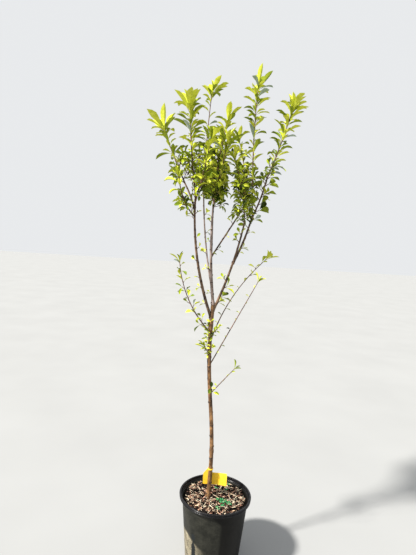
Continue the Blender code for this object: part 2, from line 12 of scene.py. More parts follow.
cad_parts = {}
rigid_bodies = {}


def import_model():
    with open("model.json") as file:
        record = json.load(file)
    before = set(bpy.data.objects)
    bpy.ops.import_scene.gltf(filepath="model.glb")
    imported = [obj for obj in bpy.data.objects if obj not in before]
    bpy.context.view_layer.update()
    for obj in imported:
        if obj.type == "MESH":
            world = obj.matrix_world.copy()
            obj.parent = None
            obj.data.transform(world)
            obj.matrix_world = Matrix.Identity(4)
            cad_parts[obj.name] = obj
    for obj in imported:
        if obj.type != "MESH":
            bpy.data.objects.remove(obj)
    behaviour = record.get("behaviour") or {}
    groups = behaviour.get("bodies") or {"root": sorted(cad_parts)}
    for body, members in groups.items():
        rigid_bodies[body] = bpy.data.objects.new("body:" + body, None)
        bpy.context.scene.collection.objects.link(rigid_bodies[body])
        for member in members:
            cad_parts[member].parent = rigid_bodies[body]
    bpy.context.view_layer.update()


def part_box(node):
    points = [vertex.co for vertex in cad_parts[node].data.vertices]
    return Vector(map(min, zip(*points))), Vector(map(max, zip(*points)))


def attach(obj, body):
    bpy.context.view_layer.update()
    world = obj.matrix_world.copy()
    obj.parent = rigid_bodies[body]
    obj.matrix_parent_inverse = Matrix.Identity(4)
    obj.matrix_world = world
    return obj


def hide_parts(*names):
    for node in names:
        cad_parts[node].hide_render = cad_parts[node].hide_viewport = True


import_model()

# Camera: a phone held a little above the height of the fork, in the photograph's frame of 416 x 555
PHOTO_HEIGHT = 555
FOCAL_PIXELS = 417
SENSOR = 36.0
CAMERA_PLACE = (-0.0855, -1.687, 1.290)
CAMERA_PITCH = math.radians(3.7)
CAMERA_ROLL = math.radians(3.5)

# Pot and filling
POT_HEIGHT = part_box("pot")[1].z
RIM_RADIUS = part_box("pot")[1].x
RIM_BAND = 0.014
RIM_RIDGES = (0.0082, 0.0118)
LIP = 0.0030
BEAD = 0.0012
LEDGE_DROP = 0.016
LEDGE_WIDTH = 0.005
WALL_TOP_RADIUS = 0.137
BASE_RADIUS = 0.111
WALL = 0.0018
FLOOR = 0.0030
POT_TURNS = 144
DRAIN_COUNT = 6
DRAIN_RADIUS = 0.008
DRAIN_HEIGHT = 0.015
SOIL_HEIGHT = 0.258
GAP = 0.0003

# Trunk
TRUNK_FOOT = (-0.030, 0.000, SOIL_HEIGHT + GAP)
TRUNK_TIP = (-0.058, 0.004, 1.070)
TRUNK_SWAY = (0.010, 0.004, 0.0)
TRUNK_FOOT_RADIUS = 0.0085
TRUNK_TIP_RADIUS = 0.0077
FLARE_HEIGHT = 0.045
FLARE_SPREAD = 0.75
RIDGE_DEPTH = 0.4
ROOT_RIDGES = 3
ROOT_TURN = math.radians(-50)
TRUNK_SEED = 41

# Swellings of the trunk: the share of its length, how far each spreads as a share, and its strength
KNUCKLES = ((0.245, 0.012, 0.20), (0.90, 0.030, 0.16), (0.985, 0.016, 0.14))

# Label
LABEL_WIDTH = 0.100
LABEL_HEIGHT = 0.052
LABEL_THICKNESS = 0.0009
LABEL_LEFT = -0.055
LABEL_FOOT = 0.307
LABEL_ROUND = 0.005
LABEL_CURL = 0.020
LABEL_STRIPS = 20
TONGUE_RIGHT = TRUNK_FOOT[0] + 0.007
TONGUE_LEFT = TRUNK_FOOT[0] - 0.001
TONGUE_FOOT = TRUNK_FOOT[0] + 0.014
TIE_HEIGHT = 0.384
TIE_WIDTH = 0.005
TIE_CLEARANCE = 0.0012
TIE_THICKNESS = 0.0012

# Dust with a painted lit side and painted terminator, a painted pool of sunlight on dust under a painted
# rim shadow, and the drip on the pot's wall, in metres round it and up it
SEAM_TURN = math.radians(-270)
# The grey dust is also the wall's painted lit side: its right edge is a painted terminator and its upper
# corner a painted rim shadow.
LIT_DUST_SIDE = math.radians(-76.5) * BASE_RADIUS
LIT_DUST_CORNER = 0.078
LIT_DUST_BACK = math.radians(-255) * BASE_RADIUS
LIT_DUST_BLUR = 0.009
RIM_BAND_FOOT = POT_HEIGHT - RIM_BAND
# The cream patch is painted sunlight on dust; its slanting top edge is a painted rim shadow.
SUNLIT_PATCH_TURN = math.radians(-149) * BASE_RADIUS
SUNLIT_PATCH_FALL = 0.6
SUNLIT_PATCH_HEIGHT = 0.152
SUNLIT_PATCH_SIDE = math.radians(-106) * BASE_RADIUS
SUNLIT_PATCH_BACK = math.radians(-243) * BASE_RADIUS
SUNLIT_PATCH_BLUR = 0.010
SUNLIT_PATCH_FADE = 0.050
DRIP_PLACE = math.radians(-130.8) * BASE_RADIUS
DRIP_HALF = 0.0100
DRIP_SHAPE = (
    (0.0, "#FFFFFF"), (0.112, "#FFFFFF"), (0.122, "#A0A0A0"), (0.133, "#A0A0A0"), (0.142, "#FFFFFF"),
    (0.155, "#FFFFFF"), (0.1635, "#000000"),
)

# Mulch
BED_RADIUS = 0.122
BED_EDGE = 0.133
BED_TURNS = 72
BED_RINGS = (0.12, 0.28, 0.44, 0.60, 0.74, 0.86, 0.95)
BED_LUMP = 0.0022
BED_SEED = 61

# Kinds of chip: the bark that each is broken from and its three tones, its length, width and number of
# corners, how many lie on a square metre, and its seed. The last one's bark also gives the fibres
Chip = namedtuple("Chip", "name bark tones length width corners density seed")
CHIPS = (
    Chip("pink", "pine_bark_heartwood", ("#6A4434", "#B0846E", "#DCBCA6"), 0.026, 0.0064, 5, 3000.0, 1),
    Chip("tan", "pine_bark_sapwood", ("#745840", "#BC9C7E", "#E4D0B4"), 0.024, 0.0054, 6, 2600.0, 5),
    Chip("brown", "pine_bark_inner", ("#180E0A", "#402A20", "#6A4C40"), 0.028, 0.0078, 7, 4200.0, 2),
    Chip("dark", "pine_bark_outer", ("#050302", "#100906", "#281A14"), 0.026, 0.0100, 5, 8000.0, 3),
    Chip("pale", "dry_wood_splinter", ("#B49C7C", "#E6D6B8", "#F8F0DC"), 0.025, 0.0034, 6, 2600.0, 4),
)
CHIP_THICKNESS = 0.36

# Patches of liverwort between the chips: the middle and radius of each
LIVERWORT_PLACES = (
    (0.014, -0.028, 0.012), (0.034, -0.035, 0.016), (0.056, -0.050, 0.012), (0.011, -0.081, 0.011),
    (0.030, -0.066, 0.008), (0.005, 0.058, 0.005), (0.048, 0.048, 0.006), (0.059, 0.092, 0.006),
)

# Bark
SCAR_LEVEL = 0.55
SCAR_RING = 0.14
TRUNK_NODE_GAP = 0.048
BOUGH_NODE_GAP = 0.026
SHOOT_NODE_GAP = 0.020
DEAD_TWIG_SHARE = 0.665
DEAD_TWIG_TURN = math.radians(200)
DEAD_TWIG_LEAN = math.radians(9)
DEAD_TWIG_ENDS = (0.002, 0.078)
DEAD_TWIG_RADII = (0.0021, 0.0010)
DEAD_TWIG_BOW = (-0.004, -0.002, 0.0)
NODE_SWELL = 0.03
SCAR_SWELL = 0.26
SCAR_LENGTH = 0.0035
UNEVEN = 0.014
COLLAR_SWELL = 0.40
COLLAR_LENGTH = 0.012
BLOOMED_LIMBS = ("middle_bough", "rear_left_bough")
BOUGH, SHOOT, STALK, SCAR = range(4)

# Steps along a limb and sides round it
TRUNK_GRID = (330, 26)
BOUGH_GRID = (130, 16)
STEM_GRID = (70, 10)
STEM_STEPS = 12

# Growth. A mass with fewer leaves on a spur than BUSHY is a thin spray
GOLDEN_TURN = math.radians(137.5)
BUSHY = 3
SPUR_LEAN = (42, 62)
SPUR_RISE = 0.25
SPUR_TAPER = 0.75
SPUR_LENGTH = (0.55, 1.15)
SPUR_SAG = 0.05
SPUR_RADII = (0.0015, 0.0010)
FINE_TWIG_GAP = 0.014
FINE_TWIG_LENGTH = (0.008, 0.018)
FINE_TWIG_LEAN = (38, 58)
FINE_TWIG_RADII = (0.0009, 0.0006)
STALK_RADII = (0.0008, 0.0005)
TUFT_SPUR = 0.010
TUFT_RISE = 0.9
TUFT_RADII = (0.0019, 0.0010)
TUFT_SEED = 71
YOUNG_BARK = 0.45
NOWHERE = (2.0, 2.0)
BARE_SHOOTS = {
    "far_left_foliage": (0.70, 0.86), "rear_left_foliage": (0.64, 0.90),
    "right_lower_spray": (0.0, 1.0), "low_right_spray": (0.0, 1.0), "right_upper_spray": (0.0, 0.74),
}
BARE_STEP = 3

# How each shoot of the crown grows: the share of its stem from which it is this year's wood, how far
# apart the large leaves stand there, and how much longer the leaves at its tip are
Habit = namedtuple("Habit", "young gap tip")
HABITS = {
    "left_foliage": Habit(0.40, 0.0054, 1.80), "lower_left_foliage": Habit(0.50, 0.0085, 1.10),
    "far_left_foliage": Habit(0.40, 0.0076, 1.95), "rear_left_foliage": Habit(0.45, 0.0085, 2.10),
    "front_left_foliage": Habit(0.55, 0.0085, 1.35), "centre_foliage": Habit(0.50, 0.0078, 1.70),
    "centre_front_foliage": Habit(0.50, 0.0082, 1.65), "rear_foliage": Habit(0.55, 0.0090, 1.35),
    "centre_right_foliage": Habit(0.55, 0.0090, 1.25), "right_inner_foliage": Habit(0.62, 0.0080, 1.10),
    "right_leader_foliage": Habit(0.20, 0.0100, 1.95), "far_right_foliage": Habit(0.16, 0.0062, 1.95),
}
SPRAY_HABIT = Habit(1.0, 1.0, 1.75)
TIP_CROWDING = 1.3
OPEN_SHOOTS = (
    "left_foliage", "far_left_foliage", "rear_left_foliage", "right_leader_foliage", "far_right_foliage",
)
ASIDE = 0.35
ARCHED_LEAN = (22, 50)
LOW_LEAN = 24
AXIL_LEAN = 0.5
TURN_JITTER = 0.5
LEAF_ROLL = 0.55
ARCHED_SIZE = (0.95, 1.48)
AXIL_SIZE = (0.42, 0.74)
BETWEEN_LEAN = (30, 60)
BETWEEN_SIZE = (0.8, 1.15)
MASS_MARGIN = 0.0010
LIMB_MARGIN = 0.0010
TWIG_SIDES = 6

# Leaves: the range of their lean from the twig in degrees, from young to grown, then the ranges of
# their width as a share of their length, their fold in degrees and their curl
Form = namedtuple("Form", "lean width fold curl")
TIP_FORM = Form((5, 38), (0.28, 0.36), (38, 64), (0.15, 0.70))
SIDE_LEAF = Form((14, 66), (0.34, 0.46), (28, 58), (0.35, 1.25))
ARCHED_LEAF = Form(ARCHED_LEAN, (0.30, 0.40), (30, 60), (0.35, 1.50))
TUFT_FORM = Form((10, 62), (0.42, 0.52), (16, 40), (0.25, 0.80))
STALK_SHARE = 0.12
STALK_OVERLAP = 0.05
BLADE_SHARE = 0.90
LEAF_WAVE = (0.05, 0.22)
ROSETTE_STEP = 0.0022
ROSETTE_SIZE = (0.88, 1.10)
ROSETTE_JITTER = 7
LOW_LEAF = 0.72
SPRAY_LEAF = 1.30
BARE_LEAF = 0.75
FINE_LEAF = 0.80
LEAF_THICKNESS = 0.0004
LEAF_STATIONS = (0.10, 0.28, 0.48, 0.66, 0.83)
LEAF_ACROSS = (-1.0, -0.5, 0.0, 0.5, 1.0)
SKIN_POINTS = len(LEAF_STATIONS) * len(LEAF_ACROSS) + 2

# Tufts of leaves on each limb: the share of its length, the side that the tuft faces as degrees from
# the right towards the back, its number of leaves and their length in millimetres. The small ones are
# coloured as young wood is, and those from GROWN_TUFT on as shaded wood
TUFTS = {
    "left_bough": (
        (0.82, 190, 2, 34), (0.94, 200, 4, 46), (0.86, 20, 2, 26), (0.48, 185, 2, 32), (0.58, 10, 2, 30),
        (0.66, -60, 1, 26), (0.34, 170, 2, 24), (0.26, 200, 2, 26), (0.12, 150, 2, 26),
    ),
    "rear_left_bough": ((0.40, 185, 3, 28), (0.62, 20, 2, 26), (0.23, 160, 2, 28), (0.82, -30, 3, 30)),
    "middle_bough": (
        (0.79, 190, 3, 26), (0.60, 160, 2, 22), (0.48, -20, 2, 20), (0.33, -160, 2, 20), (0.10, 180, 2, 22),
    ),
    "right_bough": (
        (0.36, 175, 3, 34), (0.27, -10, 3, 54), (0.10, 0, 4, 38), (0.16, -20, 3, 44), (0.80, 160, 3, 34),
        (0.88, -150, 4, 32), (0.68, 20, 2, 24),
    ),
    "right_outer_bough": (
        (0.30, 10, 3, 32), (0.62, 0, 2, 30), (0.74, 170, 3, 42), (0.88, 10, 3, 46), (0.95, 120, 3, 42),
    ),
    "far_right_bough": (
        (0.16, -8, 2, 66), (0.26, 175, 3, 44), (0.34, 15, 3, 48), (0.46, 175, 3, 46), (0.52, -40, 3, 42),
        (0.58, 5, 3, 52), (0.66, 150, 3, 46), (0.72, 190, 3, 48), (0.80, -10, 4, 56), (0.86, 165, 4, 50),
        (0.92, 200, 3, 46), (0.97, 30, 3, 48),
    ),
    "centre_right_bough": ((0.13, 30, 2, 28), (0.66, 160, 2, 34), (0.86, 150, 2, 36), (0.40, -60, 2, 20)),
    "trunk": (
        (0.905, -100, 3, 24), (0.880, 170, 3, 26), (0.855, -130, 4, 26), (0.838, -60, 3, 24),
        (0.822, 180, 4, 28), (0.806, -100, 3, 26), (0.790, 165, 4, 26), (0.776, -40, 3, 24),
        (0.762, -150, 3, 26), (0.744, -80, 2, 24), (0.566, -60, 3, 34), (0.548, -20, 2, 32),
    ),
}
GROWN_TUFT = 0.040
SMALL_TUFT_SHARE = 0.9
GROWN_TUFT_SHARE = 0.1

# Leaf colours: low and high in the skin's mottling, then roughness and shine where they are a back's;
# how common each upper tone is on young, grown and shaded wood; and the back of each upper tone
LEAF_COLOURS = (
    ("young", "#BCC434", "#D2D650"), ("bright", "#B0BC2C", "#C6CE3C"), ("green", "#8C9C1E", "#A8B42C"),
    ("deep", "#526410", "#70821A"), ("old", "#222F0C", "#384610"),
    # The young back is paler than a leaf's underside: its extra brightness is a painted glow of light
    # shining through the leaf.
    ("back_young", "#B4BA34", "#CCD04E", 0.7, 0.1), ("back_green", "#70801C", "#8E9A2E", 0.7, 0.1),
    ("back_silver", "#88988A", "#A4B09E", 0.7, 0.1),
)
YOUNG_SHARE = 0.6
YOUNG_TONES = (4, 4, 2.5, 1.5, 0.6)
GROWN_TONES = (2, 2.5, 3, 3, 2.5)
SHADE_TONES = (0.8, 1.2, 2.5, 4, 4)
SHADE_SHARE = (0.12, 0.55)
SHADED_MASSES = (
    "right_inner_foliage", "right_leader_foliage", "far_right_foliage", "centre_right_foliage",
)
SAME_TONE = 0.45
LEAF_BACKS = (5, 5, 6, 6, 6)
SILVER_BACK = 7
SILVER_MASSES = ("right_leader_foliage", "far_right_foliage", "centre_right_foliage")
SILVER_SHARE = (0.04, 0.15)

# Light
KEY_PLACE = (-0.62, -0.32, 0.72)
KEY_STRENGTH = 8.2
KEY_SOFTNESS = math.radians(5)
WORLD_STRENGTH = 0.88

# Each limb: where it leaves its parent as a share of the parent's length, where its tip is, how far
# its middle bows out, and its radius at foot and tip
Limb = namedtuple("Limb", "name parent share tip bow foot_radius tip_radius")
LIMBS = (
    Limb("middle_bough", "trunk", 1.0, (-0.081, 0.010, 1.490), (-0.010, 0.000, 0.0), 0.0062, 0.0038),
    Limb("right_bough", "trunk", 0.965, (0.042, -0.054, 1.400), (0.012, 0.012, 0.0), 0.0056, 0.0033),
    Limb("left_bough", "trunk", 0.925, (-0.152, -0.071, 1.495), (-0.026, 0.004, 0.0), 0.0060, 0.0037),
    Limb("rear_left_bough", "middle_bough", 0.13, (-0.123, 0.056, 1.500),
         (-0.008, 0.004, 0.0), 0.0034, 0.0030),
    Limb("centre_right_bough", "middle_bough", 0.46, (0.046, 0.062, 1.478),
         (0.0, 0.006, 0.0), 0.0033, 0.0029),
    Limb("rear_bough", "middle_bough", 0.34, (-0.083, 0.125, 1.490), (0.0, 0.016, 0.0), 0.0037, 0.0031),
    Limb("right_outer_bough", "right_bough", 0.56, (0.078, 0.012, 1.440),
         (0.006, -0.004, 0.0), 0.0046, 0.0034),
    Limb("far_right_bough", "right_outer_bough", 0.93, (0.126, 0.004, 1.592),
         (0.005, 0.0, 0.0), 0.0034, 0.0030),
    Limb("far_left_bough", "left_bough", 0.88, (-0.192, -0.050, 1.535), (0.004, 0.0, 0.0), 0.0034, 0.0030),
)

# Each mass: its stem as a limb, then how far its space reaches from the stem, how long its spurs are,
# how many spurs it has, its leaf length, leaves on a spur and at the tip, and its seed
Mass = namedtuple(
    "Mass", "name parent share tip bow foot_radius tip_radius reach spur spurs leaf few many seed"
)
MASSES = (
    Mass("left_foliage", "left_bough", 1.0, (-0.189, -0.110, 1.805), (-0.004, 0.0, 0.0),
         0.0034, 0.0018, 0.115, 0.050, 24, 0.056, 5, 7, 11),
    Mass("lower_left_foliage", "left_bough", 0.84, (-0.216, -0.118, 1.560), (-0.012, 0.0, -0.010),
         0.0029, 0.0016, 0.100, 0.030, 12, 0.052, 4, 6, 12),
    Mass("far_left_foliage", "far_left_bough", 1.0, (-0.292, -0.008, 1.748), (-0.002, 0.0, 0.0),
         0.0028, 0.0016, 0.120, 0.036, 13, 0.056, 4, 6, 49),
    Mass("rear_left_foliage", "rear_left_bough", 1.0, (-0.116, 0.113, 1.948), (-0.006, 0.0, 0.0),
         0.0028, 0.0015, 0.120, 0.050, 22, 0.056, 4, 5, 14),
    Mass("front_left_foliage", "left_bough", 0.95, (-0.104, -0.150, 1.690), (0.0, -0.010, -0.012),
         0.0029, 0.0016, 0.110, 0.040, 20, 0.052, 5, 8, 38),
    Mass("centre_foliage", "middle_bough", 1.0, (-0.045, 0.018, 1.805), (-0.008, 0.0, 0.0),
         0.0035, 0.0018, 0.120, 0.056, 30, 0.056, 5, 6, 15),
    Mass("centre_front_foliage", "middle_bough", 0.93, (-0.046, -0.085, 1.690), (0.0, -0.014, -0.010),
         0.0029, 0.0016, 0.110, 0.046, 22, 0.054, 5, 6, 16),
    Mass("rear_foliage", "rear_bough", 1.0, (-0.066, 0.205, 1.765), (0.0, 0.006, 0.0),
         0.0029, 0.0016, 0.125, 0.056, 26, 0.056, 5, 8, 53),
    Mass("centre_right_foliage", "centre_right_bough", 1.0, (0.012, 0.125, 1.765), (0.012, 0.0, 0.0),
         0.0027, 0.0015, 0.120, 0.050, 24, 0.056, 5, 7, 18),
    Mass("right_inner_foliage", "right_bough", 1.0, (-0.016, -0.128, 1.632), (0.012, 0.0, 0.0),
         0.0031, 0.0016, 0.100, 0.038, 20, 0.050, 5, 7, 19),
    Mass("right_leader_foliage", "right_outer_bough", 1.0, (0.072, 0.070, 1.965), (-0.008, -0.006, 0.0),
         0.0032, 0.0016, 0.105, 0.030, 24, 0.054, 4, 6, 20),
    Mass("far_right_foliage", "far_right_bough", 1.0, (0.200, -0.034, 1.845), (0.004, 0.0, 0.0),
         0.0028, 0.0015, 0.110, 0.028, 18, 0.050, 4, 5, 21),
    Mass("low_left_spray", "trunk", 0.860, (-0.201, -0.043, 1.240), (-0.024, 0.0, -0.014),
         0.0027, 0.0012, 0.085, 0.020, 14, 0.032, 1, 4, 22),
    Mass("right_upper_spray", "trunk", 0.805, (0.150, 0.040, 1.268), (-0.024, 0.016, 0.012),
         0.0025, 0.0012, 0.080, 0.020, 12, 0.032, 1, 4, 33),
    Mass("right_lower_spray", "trunk", 0.690, (0.112, -0.050, 1.178), (0.0, 0.0, 0.0),
         0.0025, 0.0012, 0.070, 0.012, 10, 0.026, 1, 3, 24),
    Mass("low_right_spray", "trunk", 0.545, (0.043, -0.030, 0.820), (0.0, 0.0, 0.0),
         0.0022, 0.0012, 0.060, 0.010, 5, 0.026, 2, 2, 25),
    Mass("left_trunk_tuft", "trunk", 0.745, (-0.082, -0.020, 0.902), (0.0, 0.0, 0.0),
         0.0020, 0.0014, 0.070, 0.012, 4, 0.028, 3, 5, 26),
    Mass("right_trunk_tuft", "trunk", 0.840, (-0.036, -0.022, 0.978), (0.0, 0.0, 0.0),
         0.0020, 0.0014, 0.070, 0.012, 4, 0.026, 3, 5, 27),
    Mass("rear_trunk_tuft", "trunk", 0.790, (-0.066, 0.036, 0.944), (0.0, 0.0, 0.0),
         0.0020, 0.0014, 0.070, 0.012, 4, 0.028, 3, 5, 28),
)


# Colours and nodes

def colour(text):
    """A sRGB hex colour as linear red, green, blue and alpha."""
    parts = [int(text[place:place + 2], 16) / 255 for place in (1, 3, 5)]
    return (*[part / 12.92 if part <= 0.04045 else ((part + 0.055) / 1.055) ** 2.4 for part in parts], 1.0)


def add_node(tree, kind, inputs=None, **settings):
    """Adds a node with its settings. An input is a plain value, or another node's output to link."""
    node = tree.nodes.new(kind)
    for name, value in settings.items():
        setattr(node, name, value)
    for name, value in (inputs or {}).items():
        if isinstance(value, bpy.types.NodeSocket):
            tree.links.new(value, node.inputs[name])
        else:
            node.inputs[name].default_value = value
    return node


def new_material(name, roughness, specular, ior=1.5):
    """A material, its tree and its shader, with the values that are the same all over its surface."""
    material = bpy.data.materials.new(name)
    material.use_nodes = True
    shader = material.node_tree.nodes["Principled BSDF"]
    shader.inputs["Roughness"].default_value = roughness
    shader.inputs["Specular IOR Level"].default_value = specular
    shader.inputs["IOR"].default_value = ior
    return material, material.node_tree, shader


def noise(tree, vector, scale, detail=3.0, roughness=0.55):
    """A noise pattern's value, at a scale in cells per metre."""
    return add_node(tree, "ShaderNodeTexNoise", {
        "Vector": vector, "Scale": scale, "Detail": detail, "Roughness": roughness,
    }).outputs["Fac"]


def ramp(tree, factor, *stops):
    """Colours or greys along a factor, from (place, hex colour) pairs."""
    node = add_node(tree, "ShaderNodeValToRGB", {"Fac": factor})
    elements = node.color_ramp.elements
    while len(elements) < len(stops):
        elements.new(0.5)
    for element, (place, text) in zip(elements, stops):
        element.position = place
        element.color = colour(text)
    return node.outputs["Color"]


def finish(tree, shader, base, height, depth, strength=1.0):
    """Gives a shader its base colour and the fine relief of its surface."""
    tree.links.new(base, shader.inputs["Base Color"])
    node = add_node(tree, "ShaderNodeBump", {"Height": height, "Distance": depth, "Strength": strength})
    tree.links.new(node.outputs["Normal"], shader.inputs["Normal"])


def scaled(tree, vector, x, y, z):
    """A vector stretched along the axes."""
    return add_node(tree, "ShaderNodeMapping", {"Vector": vector, "Scale": (x, y, z)}).outputs["Vector"]


def stretched(tree, x=1.0, y=1.0, z=1.0):
    """Object coordinates, stretched along the axes."""
    return scaled(tree, add_node(tree, "ShaderNodeTexCoord").outputs["Object"], x, y, z)


def maths(tree, operation, first, second=0.0, clamp=False):
    return add_node(tree, "ShaderNodeMath", {0: first, 1: second}, operation=operation,
                    use_clamp=clamp).outputs[0]


def below(tree, value, limit, blur):
    """One where a value is well below a limit, falling to nothing at the limit."""
    return maths(tree, "DIVIDE", maths(tree, "SUBTRACT", limit, value), blur, clamp=True)


def product(tree, first, *others):
    for other in others:
        first = maths(tree, "MULTIPLY", first, other)
    return first


def mixed(tree, factor, first, second):
    """Two colours mixed by a factor."""
    node = add_node(tree, "ShaderNodeMix", {"Factor": factor}, data_type="RGBA")
    for place, value in ((6, first), (7, second)):
        if isinstance(value, bpy.types.NodeSocket):
            tree.links.new(value, node.inputs[place])
        else:
            node.inputs[place].default_value = colour(value)
    return node.outputs[2]


# Materials

def bark_material(name, dark, middle, pale, pore, bloom):
    """Young plum bark: smooth and slightly shiny, with lengthwise grain, pale breathing pores that lie
    across it, and a thin grey bloom in patches, so it looks satin and finely marked, never flat."""
    material, tree, shader = new_material(name, 0.62, 0.3)
    grain = noise(tree, stretched(tree, z=0.10), 420.0, 4.0)
    patches = noise(tree, stretched(tree, z=0.40), 60.0, 4.0, 0.65)
    pores = noise(tree, stretched(tree, 0.30, 0.30), 520.0, 1.0)
    ground = ramp(tree, patches, (0.36, dark), (0.50, middle), (0.64, pale))
    marked = mixed(tree, ramp(tree, pores, (0.62, "#000000"), (0.70, "#A8A8A8")), ground, pore)
    film = ramp(tree, noise(tree, stretched(tree, z=0.3), 24.0), (0.52, "#000000"), (0.70, "#8A8A8A"))
    finish(tree, shader, mixed(tree, film, marked, bloom),
           maths(tree, "ADD", grain, maths(tree, "MULTIPLY", pores, 0.7)), 0.0008)
    return material


def leaf_material(name, low, high, roughness=0.48, specular=0.14):
    """A fresh plum leaf's skin: thin and waxy over soft tissue, brighter between the veins, so it is
    glossy where it turns to the light. The veins are fine ripples about 3 mm apart."""
    material, tree, shader = new_material(name, roughness, specular, ior=1.42)
    tone = noise(tree, stretched(tree), 90.0)
    finish(tree, shader, ramp(tree, tone, (0.34, low), (0.64, high)),
           noise(tree, stretched(tree), 330.0, 1.0), 0.0005, 0.6)
    return material


def pot_material():
    """Black blow-moulded polyethylene: near black and half glossy, with a fine orange peel. A thin grey
    film of dust over its upper left is also its painted lit side, with a painted terminator on its right
    and a painted rim shadow at its corner. Lower down there a cream patch is painted sunlight on dust under
    a painted rim shadow, and a wet dark drip runs down its front left, so it looks used and not flat black."""
    material, tree, shader = new_material("moulded_black_polyethylene", 0.48, 0.12)
    surface = add_node(tree, "ShaderNodeUVMap", uv_map="wall").outputs["UV"]
    place = add_node(tree, "ShaderNodeSeparateXYZ", {"Vector": surface})
    around, up = place.outputs["X"], place.outputs["Y"]
    cloudy = noise(tree, surface, 30.0, 5.0, 0.65)
    fine = noise(tree, surface, 240.0, 4.0, 0.7)
    plastic = ramp(tree, cloudy, (0.30, "#0A0A08"), (0.70, "#141310"))
    wander = maths(tree, "MULTIPLY", maths(tree, "SUBTRACT", cloudy, 0.5), 0.03)
    strayed = maths(tree, "ADD", around, wander)
    # Painted light: the grey film is dust and the wall's painted lit side, bounded by a painted terminator
    # on its right and a painted rim shadow at its corner.
    film = product(
        tree, below(tree, strayed, LIT_DUST_SIDE, LIT_DUST_BLUR), below(tree, up, RIM_BAND_FOOT, 0.004),
        below(tree, maths(tree, "ADD", strayed, up), LIT_DUST_CORNER, LIT_DUST_BLUR),
        below(tree, LIT_DUST_BACK, strayed, LIT_DUST_BLUR), ramp(tree, fine, (0.30, "#8A8A8A"), (0.70, "#F0F0F0")),
    )
    lit_dusty_plastic = mixed(tree, film, plastic, ramp(tree, cloudy, (0.35, "#23241F"), (0.65, "#3B3B34")))
    # Painted light: a cream pool of sunlight on dust low on the left, under a painted rim shadow that falls
    # lower as the wall turns from the light.
    ragged = maths(tree, "ADD", up, maths(tree, "MULTIPLY", maths(tree, "SUBTRACT", fine, 0.5), 0.012))
    fall = maths(tree, "MULTIPLY", maths(tree, "SUBTRACT", around, SUNLIT_PATCH_TURN), SUNLIT_PATCH_FALL)
    sunlit_patch = product(
        tree, below(tree, ragged, SUNLIT_PATCH_HEIGHT, SUNLIT_PATCH_BLUR),
        below(tree, maths(tree, "ADD", ragged, fall), SUNLIT_PATCH_HEIGHT, SUNLIT_PATCH_BLUR),
        below(tree, strayed, SUNLIT_PATCH_SIDE, SUNLIT_PATCH_FADE), below(tree, SUNLIT_PATCH_BACK, strayed, SUNLIT_PATCH_FADE),
    )
    sunlit_dust = ramp(tree, maths(tree, "MULTIPLY", fine, cloudy), (0.14, "#322E26"), (0.34, "#9C937C"))
    lit_dusty_plastic = mixed(tree, sunlit_patch, lit_dusty_plastic, sunlit_dust)
    lumpy = maths(tree, "ADD", noise(tree, scaled(tree, surface, 0.1, 1.0, 1.0), 90.0, 1.0), 0.5)
    half = product(tree, ramp(tree, up, *DRIP_SHAPE), lumpy, DRIP_HALF)
    off = maths(tree, "ABSOLUTE", maths(tree, "SUBTRACT", around, DRIP_PLACE))
    peel = maths(tree, "ADD", noise(tree, surface, 900.0, 2.0), maths(tree, "MULTIPLY", cloudy, 0.6))
    finish(tree, shader, mixed(tree, below(tree, off, half, 0.0015), lit_dusty_plastic, "#1C1F20"), peel, 0.0004, 0.5)
    return material


def rim_material():
    """The same black polyethylene where hands and stacking have rubbed it: the rim is glossier, with
    fine scuffs round it, so it catches a thin line of light on each ridge."""
    material, tree, shader = new_material("rubbed_black_polyethylene", 0.26, 0.22)
    surface = add_node(tree, "ShaderNodeUVMap", uv_map="wall").outputs["UV"]
    scuffs = noise(tree, scaled(tree, surface, 0.12, 1.0, 1.0), 900.0)
    finish(tree, shader, ramp(tree, scuffs, (0.45, "#0C0C0C"), (0.75, "#2C2B30")), scuffs, 0.0003, 0.5)
    return material


def chip_material(name, dark, middle, pale):
    """A chip of pine bark: dry, corky and layered, matt all over, with darker layers at its edges."""
    material, tree, shader = new_material(name, 0.88, 0.2)
    layers = noise(tree, stretched(tree, z=2.5), 190.0)
    finish(tree, shader, ramp(tree, layers, (0.32, dark), (0.50, middle), (0.68, pale)),
           noise(tree, stretched(tree, z=3.0), 700.0), 0.0008)
    return material


def soil_material():
    """Composted bark below the chips: moist and crumbly, with its colour darkened to nearly black as
    painted shade, so the gaps between the chips look deep.
    """
    material, tree, shader = new_material("composted_bark", 0.95, 0.1)
    crumbs = noise(tree, stretched(tree), 260.0, 4.0)
    finish(tree, shader, ramp(tree, crumbs, (0.35, "#060403"), (0.65, "#140D09")), crumbs, 0.003)
    return material


def liverwort_material():
    """Liverwort and moss: wet flat lobes of a cool bright green, slightly glossy."""
    material, tree, shader = new_material("liverwort", 0.40, 0.35)
    tone = noise(tree, stretched(tree), 140.0, 2.0)
    finish(tree, shader, ramp(tree, tone, (0.35, "#226C3A"), (0.65, "#46A468")),
           noise(tree, stretched(tree), 800.0, 1.0), 0.0004)
    return material


def card_material():
    """Polypropylene label stock, left bare: smooth and half glossy yellow, so it catches the light
    evenly, but slightly faded in clouds and specked with dust from use."""
    material, tree, shader = new_material("yellow_polypropylene_card", 0.42, 0.3)
    faded = noise(tree, stretched(tree), 70.0, 4.0)
    ground = ramp(tree, faded, (0.35, "#FCC82C"), (0.65, "#FFD240"))
    specks = ramp(tree, noise(tree, stretched(tree), 190.0), (0.60, "#000000"), (0.70, "#9A9A9A"))
    finish(tree, shader, mixed(tree, specks, ground, "#9A8850"), faded, 0.0002, 0.4)
    return material


def floor_material():
    """Pale painted studio floor: even and matt."""
    material, tree, shader = new_material("pale_studio_floor", 0.9, 0.1)
    tone = noise(tree, stretched(tree), 1.5, 2.0)
    tree.links.new(ramp(tree, tone, (0.3, "#969797"), (0.7, "#9A9B9B")), shader.inputs["Base Color"])
    return material


